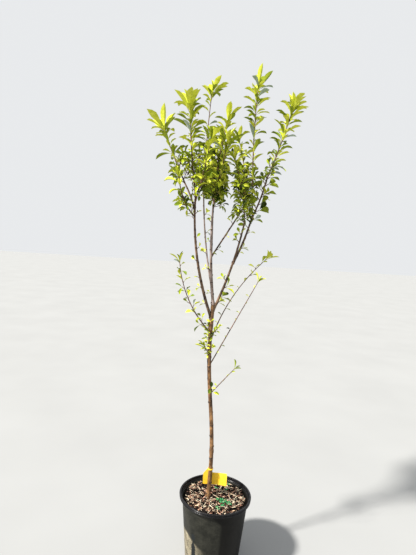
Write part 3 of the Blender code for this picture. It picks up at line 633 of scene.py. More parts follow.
# Meshes

def placed(name, data):
    """A new object in the scene, with its mesh, lamp or camera."""
    item = bpy.data.objects.new(name, data)
    bpy.context.scene.collection.objects.link(item)
    return item


def new_piece(name, mesh, materials, slot, *nodes):
    """A finished piece of the object, which rides on its one body and stands for the nodes it names."""
    mesh.name = name
    for material in materials:
        mesh.materials.append(material)
    piece = placed(name, mesh)
    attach(piece, "root")
    if nodes:
        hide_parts(*nodes)
    return piece


def outward(mesh, angle=40):
    """Turns every closed body of a mesh to face outwards, and shades it smooth but for its sharp edges."""
    edit = bmesh.new()
    edit.from_mesh(mesh)
    bmesh.ops.recalc_face_normals(edit, faces=edit.faces)
    edit.to_mesh(mesh)
    edit.free()
    mesh.shade_smooth()
    mesh.set_sharp_from_angle(angle=math.radians(angle))
    return mesh


def mesh_of(name, edit):
    """The mesh that an edit has made."""
    mesh = bpy.data.meshes.new(name)
    edit.to_mesh(mesh)
    edit.free()
    return mesh


def solid_mesh(name, points, faces, angle):
    mesh = bpy.data.meshes.new(name)
    mesh.from_pydata(points, [], faces)
    return outward(mesh, angle)


def applied(item, *others):
    """The plain mesh of an object with its modifiers, which is then removed with what they used."""
    graph = bpy.context.evaluated_depsgraph_get()
    mesh = bpy.data.meshes.new_from_object(item.evaluated_get(graph))
    for done in (item, *others):
        bpy.data.objects.remove(done, do_unlink=True)
    mesh.materials.clear()
    return mesh


class Pile:
    """Many small solids gathered into one mesh, each face with the number of its material."""

    def __init__(self):
        self.points = []
        self.faces = []
        self.kinds = []
        self.count = 0

    def add(self, points, faces, kinds):
        self.points.append(np.asarray(points, float))
        self.faces += [tuple(number + self.count for number in face) for face in faces]
        self.kinds += kinds
        self.count += len(points)

    def mesh(self, name):
        mesh = bpy.data.meshes.new(name)
        mesh.from_pydata(np.concatenate(self.points).tolist(), [], self.faces)
        mesh.polygons.foreach_set("material_index", self.kinds)
        return outward(mesh)


# Paths, by the same rule as the solids

def path_of(foot, tip, bow, sway=(0.0, 0.0, 0.0), steps=12):
    """Points from foot to tip along a line that bows out at its middle and may sway to both sides."""
    foot, tip, bow, sway = Vector(foot), Vector(tip), Vector(bow), Vector(sway)
    points = []
    for step in range(steps + 1):
        share = step / steps
        bend = bow * 4 * share * (1 - share) + sway * math.sin(2 * math.pi * share)
        points.append(foot.lerp(tip, share) + bend)
    return points


def along(path, share):
    """The point at a share of the path's steps, and the heading there."""
    place = min(max(share, 0.0), 1.0) * (len(path) - 1)
    step = min(int(place), len(path) - 2)
    heading = (path[step + 1] - path[step]).normalized()
    return path[step].lerp(path[step + 1], place - step), heading


def around(heading, turn, lean):
    """A direction that leans away from a heading, turned about it."""
    side = heading.orthogonal().normalized()
    across = heading.cross(side)
    out = side * math.cos(turn) + across * math.sin(turn)
    return (heading * math.cos(lean) + out * math.sin(lean)).normalized()


def tapered(count, foot_radius, tip_radius):
    return [foot_radius + (tip_radius - foot_radius) * step / count for step in range(count + 1)]


def thinned(path, every, foot_radius, tip_radius):
    """Every so many points of a limb's path with their radii, to measure the room beside it."""
    return path[::every], tapered(len(path) // every, foot_radius, tip_radius)


def array_of(points):
    return np.array([list(point) for point in points])


def across_of(points):
    """Two directions across a path at each of its points, carried along it without twist."""
    headings = np.gradient(points, axis=0)
    headings /= np.linalg.norm(headings, axis=1)[:, None]
    side = np.cross(headings[0], (0.0, 1.0, 0.0))
    sides = []
    for heading in headings:
        side = side - heading * side.dot(heading)
        side /= np.linalg.norm(side)
        sides.append(side)
    sides = np.array(sides)
    return sides, np.cross(headings, sides)


def ring_faces(rows, columns):
    """The faces of a closed solid of rings, by the numbers of its points."""
    faces = []
    for row in range(rows - 1):
        for column in range(columns):
            near, far = row * columns + column, row * columns + (column + 1) % columns
            faces.append((near, far, far + columns, near + columns))
    last = (rows - 1) * columns
    return faces + [tuple(reversed(range(columns))), tuple(range(last, last + columns))]


def tube_solid(points, radii, sides):
    """A closed tube's points and faces, from a radius for each step or for each point of each ring."""
    points = array_of(points)
    radii = np.asarray(radii, float)
    if radii.ndim == 1:
        radii = np.repeat(radii[:, None], sides, axis=1)
    side, other = across_of(points)
    turns = np.arange(sides) * 2 * math.pi / sides
    ring = np.cos(turns)[None, :, None] * side[:, None] + np.sin(turns)[None, :, None] * other[:, None]
    skin = (points[:, None] + ring * radii[..., None]).reshape(-1, 3)
    return skin, ring_faces(len(points), sides)


def add_rod(pile, foot, tip, foot_radius, tip_radius, kind, sides=TWIG_SIDES, bow=None):
    """A short tapering twig or leaf stalk."""
    steps = 4 if bow else 1
    path = path_of(foot, tip, bow or (0.0, 0.0, 0.0), steps=steps)
    skin, faces = tube_solid(path, tapered(steps, foot_radius, tip_radius), sides)
    pile.add(skin, faces, [kind] * len(faces))


# Trunk and boughs

def limb_relief(points, radii, sides, node_gap, rng):
    """Radii round a limb, and how strongly each place is scarred: bud scars lie along it in a spiral,
    each a low dark swelling, between shallow lengthwise furrows and small unevenness."""
    length = np.concatenate([[0.0], np.cumsum(np.linalg.norm(np.diff(points, axis=0), axis=1))])
    turns = np.arange(sides) * 2 * math.pi / sides
    relief = np.ones((len(points), sides))
    scars = np.zeros((len(points), sides))
    phase = rng.uniform(0, 2 * math.pi)
    for number in range(int(length[-1] / node_gap)):
        place = (number + rng.uniform(0.3, 0.7)) * node_gap
        facing = 0.5 + 0.5 * np.cos(turns - GOLDEN_TURN * number)
        swell = np.exp(-((length - place) / SCAR_LENGTH) ** 2)
        relief += NODE_SWELL * swell[:, None] + SCAR_SWELL * swell[:, None] * facing[None] ** 4
        scars += swell[:, None] * (SCAR_RING + (1 - SCAR_RING) * facing[None] ** 2)
    furrows = np.sin(turns[None] * 4 + phase + length[:, None] * 9) * 0.022
    furrows += np.sin(turns[None] * 7 - length[:, None] * 23) * 0.012
    small = np.array([[rng.uniform(-UNEVEN, UNEVEN) for _ in turns] for _ in length])
    return np.asarray(radii)[:, None] * (relief + furrows + small), scars


def limb_skin(points, radii, sides, node_gap, rng):
    """A limb's points and faces with the bark's relief, and whether each face is on a bud scar."""
    bulky, scars = limb_relief(points, radii, sides, node_gap, rng)
    skin, faces = tube_solid(points, bulky, sides)
    return skin, faces, [level > SCAR_LEVEL for level in scars[:-1].reshape(-1)] + [False, False]


def make_trunk(bark, scar):
    """The trunk, with root flare, knuckles and a dead twig, in a mesh with the bark's relief."""
    steps, sides = TRUNK_GRID
    path = path_of(TRUNK_FOOT, TRUNK_TIP, (0.0, 0.0, 0.0), TRUNK_SWAY, steps)
    radii = tapered(steps, TRUNK_FOOT_RADIUS, TRUNK_TIP_RADIUS)
    for step in range(steps + 1):
        for place, spread, swell in KNUCKLES:
            distance = (step / steps - place) / spread
            radii[step] *= 1 + swell * math.exp(-distance * distance)
    rng = random.Random(TRUNK_SEED)
    skin, faces, scarred = limb_skin(array_of(path), radii, sides, TRUNK_NODE_GAP, rng)
    foot = np.array(TRUNK_FOOT)
    height = skin[:, 2] - foot[2]
    low = np.clip(1 - height / FLARE_HEIGHT, 0.0, 1.0)
    turn = np.arctan2(skin[:, 1] - foot[1], skin[:, 0] - foot[0])
    ridge = 1 - RIDGE_DEPTH + RIDGE_DEPTH * np.cos(ROOT_RIDGES * (turn - ROOT_TURN))
    widen = 1 + FLARE_SPREAD * low * low * ridge
    skin[:, :2] = foot[:2] + (skin[:, :2] - foot[:2]) * widen[:, None]
    skin[:sides, 2] = foot[2]
    pile = Pile()
    pile.add(skin, faces, [int(dark) for dark in scarred])
    fork, heading = along(path, DEAD_TWIG_SHARE)
    aim = around(heading, DEAD_TWIG_TURN, DEAD_TWIG_LEAN)
    ends = [fork + aim * reach for reach in DEAD_TWIG_ENDS]
    add_rod(pile, *ends, *DEAD_TWIG_RADII, 1, bow=DEAD_TWIG_BOW)
    new_piece("trunk_bark_skin", pile.mesh("trunk"), [bark, scar], "trunk_bark", "trunk")
    return path


def limb_path(sizes, paths, steps):
    foot, _ = along(paths[sizes.parent], sizes.share)
    return path_of(foot, sizes.tip, sizes.bow, steps=steps)


def make_limb(sizes, paths, bark, scar):
    """One tapering bough with a collar where it leaves its parent."""
    steps, sides = BOUGH_GRID
    path = limb_path(sizes, paths, steps)
    points = array_of(path)
    radii = np.array(tapered(steps, sizes.foot_radius, sizes.tip_radius))
    length = np.linalg.norm(points - points[0], axis=1)
    radii *= 1 + COLLAR_SWELL * np.exp(-(length / COLLAR_LENGTH) ** 2)
    skin, faces, scarred = limb_skin(points, radii, sides, BOUGH_NODE_GAP, random.Random(sizes.name))
    pile = Pile()
    pile.add(skin, faces, [int(dark) for dark in scarred])
    new_piece(sizes.name + "_bark_skin", pile.mesh(sizes.name), [bark, scar], "bough_bark", sizes.name)
    paths[sizes.name] = path


# Leaves

def leaf_faces():
    """A leaf's faces: an upper and a lower skin that share their rim, so that it is one thin solid."""
    rows, columns = len(LEAF_STATIONS), len(LEAF_ACROSS)
    base, tip = 0, rows * columns + 1
    upper = [[1 + row * columns + column for column in range(columns)] for row in range(rows)]
    lower = []
    for row in range(rows):
        inner = [tip + 1 + row * (columns - 2) + column for column in range(columns - 2)]
        lower.append([upper[row][0], *inner, upper[row][-1]])
    faces = []
    for grid in (upper, lower):
        for column in range(columns - 1):
            faces.append((base, grid[0][column], grid[0][column + 1]))
            faces.append((grid[-1][column], tip, grid[-1][column + 1]))
            for row in range(rows - 1):
                faces.append((grid[row][column], grid[row + 1][column],
                              grid[row + 1][column + 1], grid[row][column + 1]))
    return faces


LEAF_FACES = leaf_faces()


def leaf_points(root, aim, up, length, width, fold, curl, wave, phase):
    """A leaf's points: widest past its middle, folded along its midrib, wavy, and curled back."""
    side = np.cross(aim, up)
    share = np.array([0.0, *LEAF_STATIONS, 1.0])
    bend = curl * share
    forward = length * np.sin(bend) / curl
    down = length * (1 - np.cos(bend)) / curl
    middle = root + forward[:, None] * aim - down[:, None] * up
    normal = np.cos(bend)[:, None] * up + np.sin(bend)[:, None] * aim
    half = width / 2 * np.sin(math.pi * share ** 1.45) ** 0.85
    lift = fold * (1 - 0.35 * share)
    rows, inner = [], []
    for row in range(1, len(share) - 1):
        for place in LEAF_ACROSS:
            rise = abs(place) ** 1.25 * math.sin(lift[row])
            rise += wave * place * abs(place) * math.sin(phase + 9.0 * share[row])
            rows.append(middle[row] + side * (place * half[row] * math.cos(lift[row]))
                        + normal[row] * (rise * half[row]))
            if abs(place) < 1.0:
                inner.append(rows[-1] - normal[row] * LEAF_THICKNESS)
    return np.concatenate([middle[:1], np.array(rows), middle[-1:], np.array(inner)])


def segments_of(paths):
    """All the short straight runs of some paths, as arrays of starts and ends."""
    starts = [point for path in paths for point in path[:-1]]
    ends = [point for path in paths for point in path[1:]]
    return np.array(starts), np.array(ends)


def distances(points, starts, ends):
    """How far each point is from each run."""
    runs = ends - starts
    offset = np.asarray(points)[:, None, :] - starts[None]
    share = np.clip((offset * runs).sum(-1) / (runs * runs).sum(-1), 0.0, 1.0)
    return np.linalg.norm(offset - share[..., None] * runs, axis=-1)


class Room:
    """The space of one mass: nearer to its own stem than to any other, and clear of every limb."""

    def __init__(self, sizes, stems, limbs):
        self.reach = sizes.reach
        self.own = segments_of([stems[sizes.name]])
        self.others = segments_of([stem for other, stem in stems.items() if other != sizes.name])
        self.limbs = segments_of([path for path, radii in limbs])
        self.radii = np.concatenate([np.array(radii[:-1]) for path, radii in limbs])

    def holds(self, points):
        own = distances(points, *self.own).min(axis=1)
        others = distances(points, *self.others).min(axis=1)
        limbs = (distances(points, *self.limbs) - self.radii).min()
        near = bool((own + MASS_MARGIN < others).all() and (own < self.reach).all())
        return near and limbs > LIMB_MARGIN


class Growth:
    """Foliage as it grows: its room and chance, and its leaves and twigs so far."""

    def __init__(self, name, seed, room=None):
        self.name = name
        self.room = room
        self.rng = random.Random(seed)
        self.bare = BARE_SHOOTS.get(name, NOWHERE)
        self.leaves = Pile()
        self.twigs = Pile()

    def fits(self, points):
        return self.room is None or self.room.holds(points)

    def is_bare(self, share):
        return self.bare[0] < share < self.bare[1]

    def aside(self, aim):
        """A leaf or spur's heading: on the open shoots it turns to a side and leaves the stem in view."""
        if self.name in OPEN_SHOOTS and aim.y < 0:
            aim = Vector((aim.x, aim.y * ASIDE, aim.z)).normalized()
        return aim

    def tones(self, share):
        """The upper and lower material of a spray, by how high it stands on its shoot."""
        weights = YOUNG_TONES if share > YOUNG_SHARE else GROWN_TONES
        if share < SHADE_SHARE[self.name in SHADED_MASSES]:
            weights = SHADE_TONES
        upper = self.rng.choices(range(len(weights)), weights=weights)[0]
        silver = self.rng.random() < SILVER_SHARE[self.name in SILVER_MASSES] and share < 1
        return upper, SILVER_BACK if silver else LEAF_BACKS[upper]

    def leaf(self, root, heading, aim, size, form, tones):
        """One leaf on its stalk, where it has room."""
        rng = self.rng
        up = heading * 0.8 + Vector((0.0, 0.0, 0.35))
        up = (up - aim * up.dot(aim)).normalized()
        roll = rng.uniform(-LEAF_ROLL, LEAF_ROLL)
        up = up * math.cos(roll) + aim.cross(up) * math.sin(roll)
        foot = root + aim * (size * STALK_SHARE)
        points = leaf_points(
            np.array(foot), np.array(aim), np.array(up), size * BLADE_SHARE,
            size * rng.uniform(*form.width), math.radians(rng.uniform(*form.fold)),
            rng.uniform(*form.curl), rng.uniform(*LEAF_WAVE), rng.uniform(0, 2 * math.pi),
        )
        if self.fits(points[:SKIN_POINTS]):
            half = len(LEAF_FACES) // 2
            self.leaves.add(points, LEAF_FACES, [tones[0]] * half + [tones[1]] * half)
            end = foot + aim * (size * STALK_OVERLAP)
            add_rod(self.twigs, root, end, *STALK_RADII, STALK, sides=4)

    def rosette(self, place, heading, count, length, form, share):
        """Leaves round the end of a twig, small and upright inside, long and leaning outside."""
        rng = self.rng
        spray = self.tones(share)
        first = rng.uniform(0, 2 * math.pi)
        for number in range(count):
            age = (number + 0.5) / count
            lean = form.lean[0] + (form.lean[1] - form.lean[0]) * age
            lean += rng.uniform(-ROSETTE_JITTER, ROSETTE_JITTER)
            aim = around(heading, first + GOLDEN_TURN * number, math.radians(lean))
            size = length * (0.55 + 0.45 * min(1.0, age * 1.9)) * rng.uniform(*ROSETTE_SIZE)
            tones = spray if rng.random() < SAME_TONE else self.tones(share)
            self.leaf(place - heading * (ROSETTE_STEP * number), heading, aim, size, form, tones)

    def spur(self, sizes, place, aim, length, share):
        """A spur with a rosette at its end, and finer twigs along it with smaller rosettes."""
        rng = self.rng
        bushy = sizes.few >= BUSHY
        size = sizes.leaf * (LOW_LEAF + (1 - LOW_LEAF) * share if bushy else SPRAY_LEAF)
        if not self.fits([list(place + aim * length * step) for step in (0.7, 1.0)]):
            length *= 0.5
            if not self.fits([list(place + aim * length)]):
                return
        bow = Vector((0.0, 0.0, -SPUR_SAG * length))
        add_rod(self.twigs, place, place + aim * length, *SPUR_RADII, SHOOT, bow=bow)
        self.rosette(place + aim * length, aim, sizes.few + (not bushy), size, SIDE_LEAF, share)
        if not bushy:
            return
        twist = rng.uniform(0, 2 * math.pi)
        for number in range(int(length / FINE_TWIG_GAP)):
            along_spur = (number + 0.5) * FINE_TWIG_GAP / length
            side = around(aim, twist + math.pi * number, math.radians(rng.uniform(*FINE_TWIG_LEAN)))
            side = (side + Vector((0.0, 0.0, SPUR_RISE))).normalized()
            fork = place + aim * (length * along_spur) + bow * (4 * along_spur * (1 - along_spur))
            tip = fork + side * rng.uniform(*FINE_TWIG_LENGTH)
            if self.fits([list(tip)]):
                add_rod(self.twigs, fork, tip, *FINE_TWIG_RADII, SHOOT, sides=5)
                self.rosette(tip, side, sizes.few - 1, size * FINE_LEAF, SIDE_LEAF, share)

    def young_wood(self, sizes, stem, habit):
        """This year's wood: large arching leaves in a spiral, each with a small one in its axil."""
        rng = self.rng
        phase = rng.uniform(0, 2 * math.pi)
        count = int((stem[-1] - stem[0]).length * (1 - habit.young) / habit.gap)
        for number in range(count):
            share = 1 - (1 - habit.young) * ((number + rng.uniform(0.3, 0.7)) / count) ** TIP_CROWDING
            place, heading = along(stem, share)
            turn = phase + GOLDEN_TURN * number + rng.uniform(-TURN_JITTER, TURN_JITTER)
            lean = math.radians(rng.uniform(*ARCHED_LEAN) + LOW_LEAN * (1 - share) / (1 - habit.young))
            aim = self.aside(around(heading, turn, lean))
            if self.is_bare(share):
                if number % BARE_STEP == 0:
                    self.leaf(place, heading, aim, sizes.leaf * BARE_LEAF, SIDE_LEAF, self.tones(share))
                continue
            size = sizes.leaf * rng.uniform(*ARCHED_SIZE)
            self.leaf(place, heading, aim, size, ARCHED_LEAF, self.tones(share))
            aim = self.aside(around(heading, turn, lean * AXIL_LEAN))
            self.leaf(place, heading, aim, size * rng.uniform(*AXIL_SIZE), SIDE_LEAF, self.tones(1.0))

    def shoot(self, sizes, stem):
        """A whole mass along its stem: tip rosette, young wood, then spurs with leaves between them."""
        rng = self.rng
        habit = HABITS.get(sizes.name, SPRAY_HABIT)
        tip, heading = along(stem, 1.0)
        self.rosette(tip, heading, sizes.many + 1, sizes.leaf * habit.tip, TIP_FORM, 1.0)
        self.young_wood(sizes, stem, habit)
        phase = rng.uniform(0, 2 * math.pi)
        for number in range(sizes.spurs):
            share = (number + 0.6) / (sizes.spurs + 0.4)
            if share > habit.young:
                break
            place, heading = along(stem, share)
            aim = around(heading, phase + GOLDEN_TURN * number, math.radians(rng.uniform(*SPUR_LEAN)))
            aim = self.aside((aim + Vector((0.0, 0.0, SPUR_RISE))).normalized())
            full = sizes.spur * (1.15 - SPUR_TAPER * share) * rng.uniform(*SPUR_LENGTH)
            if self.is_bare(share):
                self.rosette(place, aim, 1, sizes.leaf * BARE_LEAF, SIDE_LEAF, share)
                continue
            self.spur(sizes, place, aim, full, share)
            if sizes.few >= BUSHY:
                beside, heading = along(stem, share + 0.5 / sizes.spurs)
                lean = math.radians(rng.uniform(*BETWEEN_LEAN))
                aim = around(heading, phase + GOLDEN_TURN * (number + 0.5), lean)
                size = sizes.leaf * rng.uniform(*BETWEEN_SIZE)
                self.leaf(beside, heading, aim, size, SIDE_LEAF, self.tones(share))


def make_tufts(paths, leaf_kinds, twig_kinds):
    """Short spurs with a few leaves each, straight on the boughs and the trunk."""
    growth = Growth("tufts", TUFT_SEED)
    for name, tufts in TUFTS.items():
        for share, azimuth, count, millimetres in tufts:
            length = millimetres / 1000
            place, heading = along(paths[name], share)
            turn = math.radians(azimuth)
            aim = (Vector((math.cos(turn), math.sin(turn), 0.0)) + heading * TUFT_RISE).normalized()
            end = place + aim * (TUFT_SPUR + length * STALK_SHARE)
            add_rod(growth.twigs, place, end, *TUFT_RADII, SHOOT)
            age = SMALL_TUFT_SHARE if length < GROWN_TUFT else GROWN_TUFT_SHARE
            growth.rosette(end, aim, count, length, TUFT_FORM, age)
    new_piece("bough_tuft_leaves", growth.leaves.mesh("bough_tuft_leaves"), leaf_kinds, "foliage")
    new_piece("bough_tuft_twigs", growth.twigs.mesh("bough_tuft_twigs"), twig_kinds, "bough_bark")


def make_mass(sizes, stems, limbs, parent, leaf_kinds, twig_kinds):
    """One mass of foliage: its leaves in one piece, and its stem, spurs and finer twigs in another."""
    growth = Growth(sizes.name, sizes.seed, Room(sizes, stems, limbs))
    steps, sides = STEM_GRID
    points = array_of(limb_path(sizes, {sizes.parent: parent}, steps))
    radii = tapered(steps, sizes.foot_radius, sizes.tip_radius)
    skin, faces, scarred = limb_skin(points, radii, sides, SHOOT_NODE_GAP, growth.rng)
    turning = int(steps * YOUNG_BARK) * sides
    growth.twigs.add(skin, faces, [
        SCAR if dark else BOUGH if number < turning else SHOOT for number, dark in enumerate(scarred)
    ])
    growth.shoot(sizes, stems[sizes.name])
    new_piece(sizes.name + "_leaves", growth.leaves.mesh(sizes.name), leaf_kinds, "foliage", sizes.name)
    new_piece(sizes.name + "_twigs", growth.twigs.mesh(sizes.name + "_twigs"), twig_kinds, "bough_bark")


# Pot

def wall_radius(height):
    """The outer radius of the pot's wall at a height."""
    return BASE_RADIUS + (WALL_TOP_RADIUS - BASE_RADIUS) * height / (POT_HEIGHT - LEDGE_DROP)


def arc(radius, height, size, start, end, steps=6):
    """Points of a circle's arc about a centre, between two angles in degrees."""
    points = []
    for step in range(steps + 1):
        turn = math.radians(start + (end - start) * step / steps)
        points.append((radius + size * math.cos(turn), height + size * math.sin(turn)))
    return points


def pot_profile():
    """The pot's outline, from the middle of its floor up inside, over the lip and down outside."""
    ledge, top, rim = POT_HEIGHT - LEDGE_DROP, POT_HEIGHT, RIM_RADIUS
    inner = wall_radius(ledge) - WALL
    points = [(0.0, FLOOR), (wall_radius(FLOOR) - WALL - 0.005, FLOOR)]
    points += [(wall_radius(height) - WALL, height) for height in (0.008, 0.06, 0.12, 0.18, 0.24)]
    points += [(inner, ledge - 0.002), (inner + 0.0012, ledge), (inner + LEDGE_WIDTH, ledge + 0.0016),
               (inner + LEDGE_WIDTH + 0.0012, ledge + 0.003), (inner + LEDGE_WIDTH * 1.45, top - 0.006)]
    points += arc(rim - 2 * LIP - 0.0002, top - BEAD, BEAD, 160, 90)
    points += [(rim - LIP - 0.0016, top - 0.0004)]
    points += arc(rim - LIP, top - LIP, LIP, 90, -20, 10)
    for ridge in RIM_RIDGES:
        points += [(rim - 0.0028, top - ridge + 0.0017)]
        points += arc(rim - 0.0024, top - ridge, 0.0014, 60, -60, 5)
    points += [(rim - 0.0026, top - RIM_BAND + 0.0006), (rim - 0.0030, top - RIM_BAND),
               (WALL_TOP_RADIUS + 0.0016, top - RIM_BAND), (wall_radius(ledge), ledge - 0.004)]
    points += [(wall_radius(height), height) for height in (0.24, 0.20, 0.16, 0.12, 0.08, 0.04, 0.012)]
    points += arc(wall_radius(0.005) - 0.005, 0.005, 0.005, 0, -90, 5)
    return points + [(BASE_RADIUS - 0.012, 0.0), (BASE_RADIUS - 0.014, 0.0015), (0.0, 0.0015)]


def turned_mesh(name, profile, turns):
    """A closed solid turned from a profile, with a map of metres round it and of height."""
    edit = bmesh.new()
    layer = edit.loops.layers.uv.new("wall")
    angles = [2 * math.pi * step / turns + SEAM_TURN for step in range(turns + 1)]
    rings = []
    for radius, height in profile:
        count = turns if radius else 1
        ring = [edit.verts.new((radius * math.cos(turn), radius * math.sin(turn), height))
                for turn in angles[:count]]
        rings.append(ring + ring[:1] if radius else ring * (turns + 1))
    for low, high in zip(rings, rings[1:]):
        for step in range(turns):
            corners, steps = [], []
            for ring, column in ((low, step), (low, step + 1), (high, step + 1), (high, step)):
                if ring[column] not in corners:
                    corners.append(ring[column])
                    steps.append(column)
            for loop, column in zip(edit.faces.new(corners).loops, steps):
                loop[layer].uv = (angles[column] * BASE_RADIUS, loop.vert.co.z)
    return outward(mesh_of(name, edit), 50)


def make_pot(plastic, rim_plastic):
    """The pot's shell with its drain holes, in rubbed plastic above the wall and below it dusty plastic
    with painted light and shade.
    """
    shell = placed("pot_turned", turned_mesh("pot", pot_profile(), POT_TURNS))
    cutters = []
    for number in range(DRAIN_COUNT):
        edit = bmesh.new()
        turn = Matrix.Rotation(2 * math.pi * (number + 0.5) / DRAIN_COUNT, 4, "Z")
        place = Matrix.Translation((BASE_RADIUS, 0.0, DRAIN_HEIGHT))
        lie = Matrix.Rotation(math.radians(90), 4, "Y")
        bmesh.ops.create_cone(edit, cap_ends=True, segments=24, radius1=DRAIN_RADIUS,
                              radius2=DRAIN_RADIUS, depth=0.020, matrix=turn @ place @ lie)
        cutters.append(placed("drain_hole", mesh_of("drain_hole", edit)))
        boolean = shell.modifiers.new("drain", "BOOLEAN")
        boolean.operation = "DIFFERENCE"
        boolean.object = cutters[-1]
    mesh = applied(shell, *cutters)
    mesh.shade_smooth()
    mesh.set_sharp_from_angle(angle=math.radians(50))
    for face in mesh.polygons:
        face.material_index = int(face.center.z > RIM_BAND_FOOT - 0.0002)
    new_piece("pot_shell", mesh, [plastic, rim_plastic], "pot_plastic", "pot")


# Mulch

def scatter_tree():
    """Scatters copies of a chip over a bed, each turned, tilted, lifted and sized by chance."""
    tree = bpy.data.node_groups.new("scatter_chips", "GeometryNodeTree")
    sockets = {
        "Bed": "Geometry", "Chip": "Object", "Density": "Float", "Seed": "Int", "Smallest": "Float",
        "Largest": "Float", "Tilt": "Float", "Lift": "Float", "Finish": "Material",
    }
    for name, kind in sockets.items():
        tree.interface.new_socket(name, in_out="INPUT", socket_type="NodeSocket" + kind)
    tree.interface.new_socket("Chips", in_out="OUTPUT", socket_type="NodeSocketGeometry")
    given = add_node(tree, "NodeGroupInput").outputs
    points = add_node(tree, "GeometryNodeDistributePointsOnFaces", {
        "Mesh": given["Bed"], "Density": given["Density"], "Seed": given["Seed"],
    })
    rise = add_node(tree, "FunctionNodeRandomValue", {2: 0.0, 3: given["Lift"], "Seed": 5})
    offset = add_node(tree, "ShaderNodeCombineXYZ", {"Z": rise.outputs[1]})
    lifted = add_node(tree, "GeometryNodeSetPosition", {
        "Geometry": points.outputs["Points"], "Offset": offset.outputs[0],
    })
    back = maths(tree, "MULTIPLY", given["Tilt"], -1.0)
    lowest = add_node(tree, "ShaderNodeCombineXYZ", {"X": back, "Y": back})
    highest = add_node(tree, "ShaderNodeCombineXYZ", {
        "X": given["Tilt"], "Y": given["Tilt"], "Z": 2 * math.pi,
    })
    turn = add_node(tree, "FunctionNodeRandomValue", {
        0: lowest.outputs[0], 1: highest.outputs[0], "Seed": 7,
    }, data_type="FLOAT_VECTOR")
    size = add_node(tree, "FunctionNodeRandomValue", {
        2: given["Smallest"], 3: given["Largest"], "Seed": 9,
    })
    chip = add_node(tree, "GeometryNodeObjectInfo", {"Object": given["Chip"]})
    copies = add_node(tree, "GeometryNodeInstanceOnPoints", {
        "Points": lifted.outputs["Geometry"], "Instance": chip.outputs["Geometry"],
        "Rotation": turn.outputs[0], "Scale": size.outputs[1],
    })
    real = add_node(tree, "GeometryNodeRealizeInstances", {"Geometry": copies.outputs["Instances"]})
    finished = add_node(tree, "GeometryNodeSetMaterial", {
        "Geometry": real.outputs["Geometry"], "Material": given["Finish"],
    })
    add_node(tree, "NodeGroupOutput", {"Chips": finished.outputs["Geometry"]})
    return tree


def scatter(name, tree, bed, chip, material, **sizes):
    """One piece of scattered chips on a bed, as a plain mesh."""
    holder = placed(name + "_bed", bed)
    modifier = holder.modifiers.new("scatter", "NODES")
    modifier.node_group = tree
    given = {"Chip": chip, "Finish": material, **{key.title(): value for key, value in sizes.items()}}
    for socket in tree.interface.items_tree:
        if socket.in_out == "INPUT" and socket.name in given:
            modifier[socket.identifier] = given[socket.name]
    new_piece(name, outward(applied(holder), 30), [material], "pine_bark")


def loose_object(name, points, faces):
    """An object that is only copied from, and is removed when the mulch is made."""
    return placed(name, solid_mesh(name, points, faces, 30))


def chip_object(name, length, width, thickness, corners, seed):
    """A broken flake of bark: an uneven outline with a smaller uneven top, as one closed solid."""
    rng = random.Random(seed)
    turns = [2 * math.pi * (number + rng.uniform(-0.25, 0.25)) / corners for number in range(corners)]
    spread = [rng.uniform(0.72, 1.0) for _ in turns]
    points = []
    for height, inset in ((-0.5, 0.84), (0.0, 1.0), (0.5, 0.74)):
        points += [(
            length / 2 * reach * inset * math.cos(turn), width / 2 * reach * inset * math.sin(turn),
            thickness * (height + rng.uniform(-0.14, 0.14)),
        ) for turn, reach in zip(turns, spread)]
    return loose_object(name, points, ring_faces(3, corners))


def fibre_object(name, length, width, bow):
    """A bent sliver of bark fibre."""
    path = path_of((-length / 2, 0.0, 0.0), (length / 2, 0.0, 0.0), (0.0, bow, bow * 0.5), steps=5)
    skin, faces = tube_solid(path, [width * size for size in (0.3, 0.5, 0.6, 0.6, 0.45, 0.2)], 4)
    return loose_object(name, skin.tolist(), faces)


def lobe_object(name, size):
    """A liverwort lobe: a small cupped disc with a wavy rim."""
    corners = 9
    turns = [2 * math.pi * number / corners for number in range(corners)]
    points = []
    for inset, height in ((0.7, -0.25), (1.0, 0.2)):
        for turn in turns:
            reach = size * (0.8 + 0.25 * math.cos(3 * turn)) * inset
            points.append((reach * math.cos(turn), reach * math.sin(turn), size * height))
    points.append((0.0, 0.0, size * 0.02))
    fan = [(corners + number, corners + (number + 1) % corners, 2 * corners) for number in range(corners)]
    return loose_object(name, points, ring_faces(2, corners)[:-1] + fan)


def disc_mesh(name, discs, height):
    """Flat discs at a height, each by its centre and radius, to scatter over."""
    edit = bmesh.new()
    for x, y, radius in discs:
        bmesh.ops.create_circle(edit, cap_ends=True, segments=40, radius=radius,
                                matrix=Matrix.Translation((x, y, height)))
    return mesh_of(name, edit)


def make_bed(soil):
    """The lumpy bed of fine bark below the chips, which fills the pot."""
    rng = random.Random(BED_SEED)
    profile = [(reach * BED_EDGE, SOIL_HEIGHT, BED_LUMP) for reach in BED_RINGS]
    profile += [(wall_radius(height) - WALL - GAP, height, 0.0)
                for height in (SOIL_HEIGHT - 0.003, 0.13, FLOOR + GAP)]
    points = []
    for radius, height, lump in profile:
        for step in range(BED_TURNS):
            turn = 2 * math.pi * step / BED_TURNS
            points.append((radius * math.cos(turn), radius * math.sin(turn),
                           height + rng.uniform(-lump, lump)))
    faces = [(near, near + BED_TURNS, far + BED_TURNS, far)
             for near, far, *_ in ring_faces(len(profile), BED_TURNS)[:-2]]
    faces += [tuple(range(BED_TURNS)), tuple(reversed(range(len(points) - BED_TURNS, len(points))))]
    new_piece("bark_bed", solid_mesh("bark_bed", points, faces, 60), [soil], "pine_bark", "bark_filling")


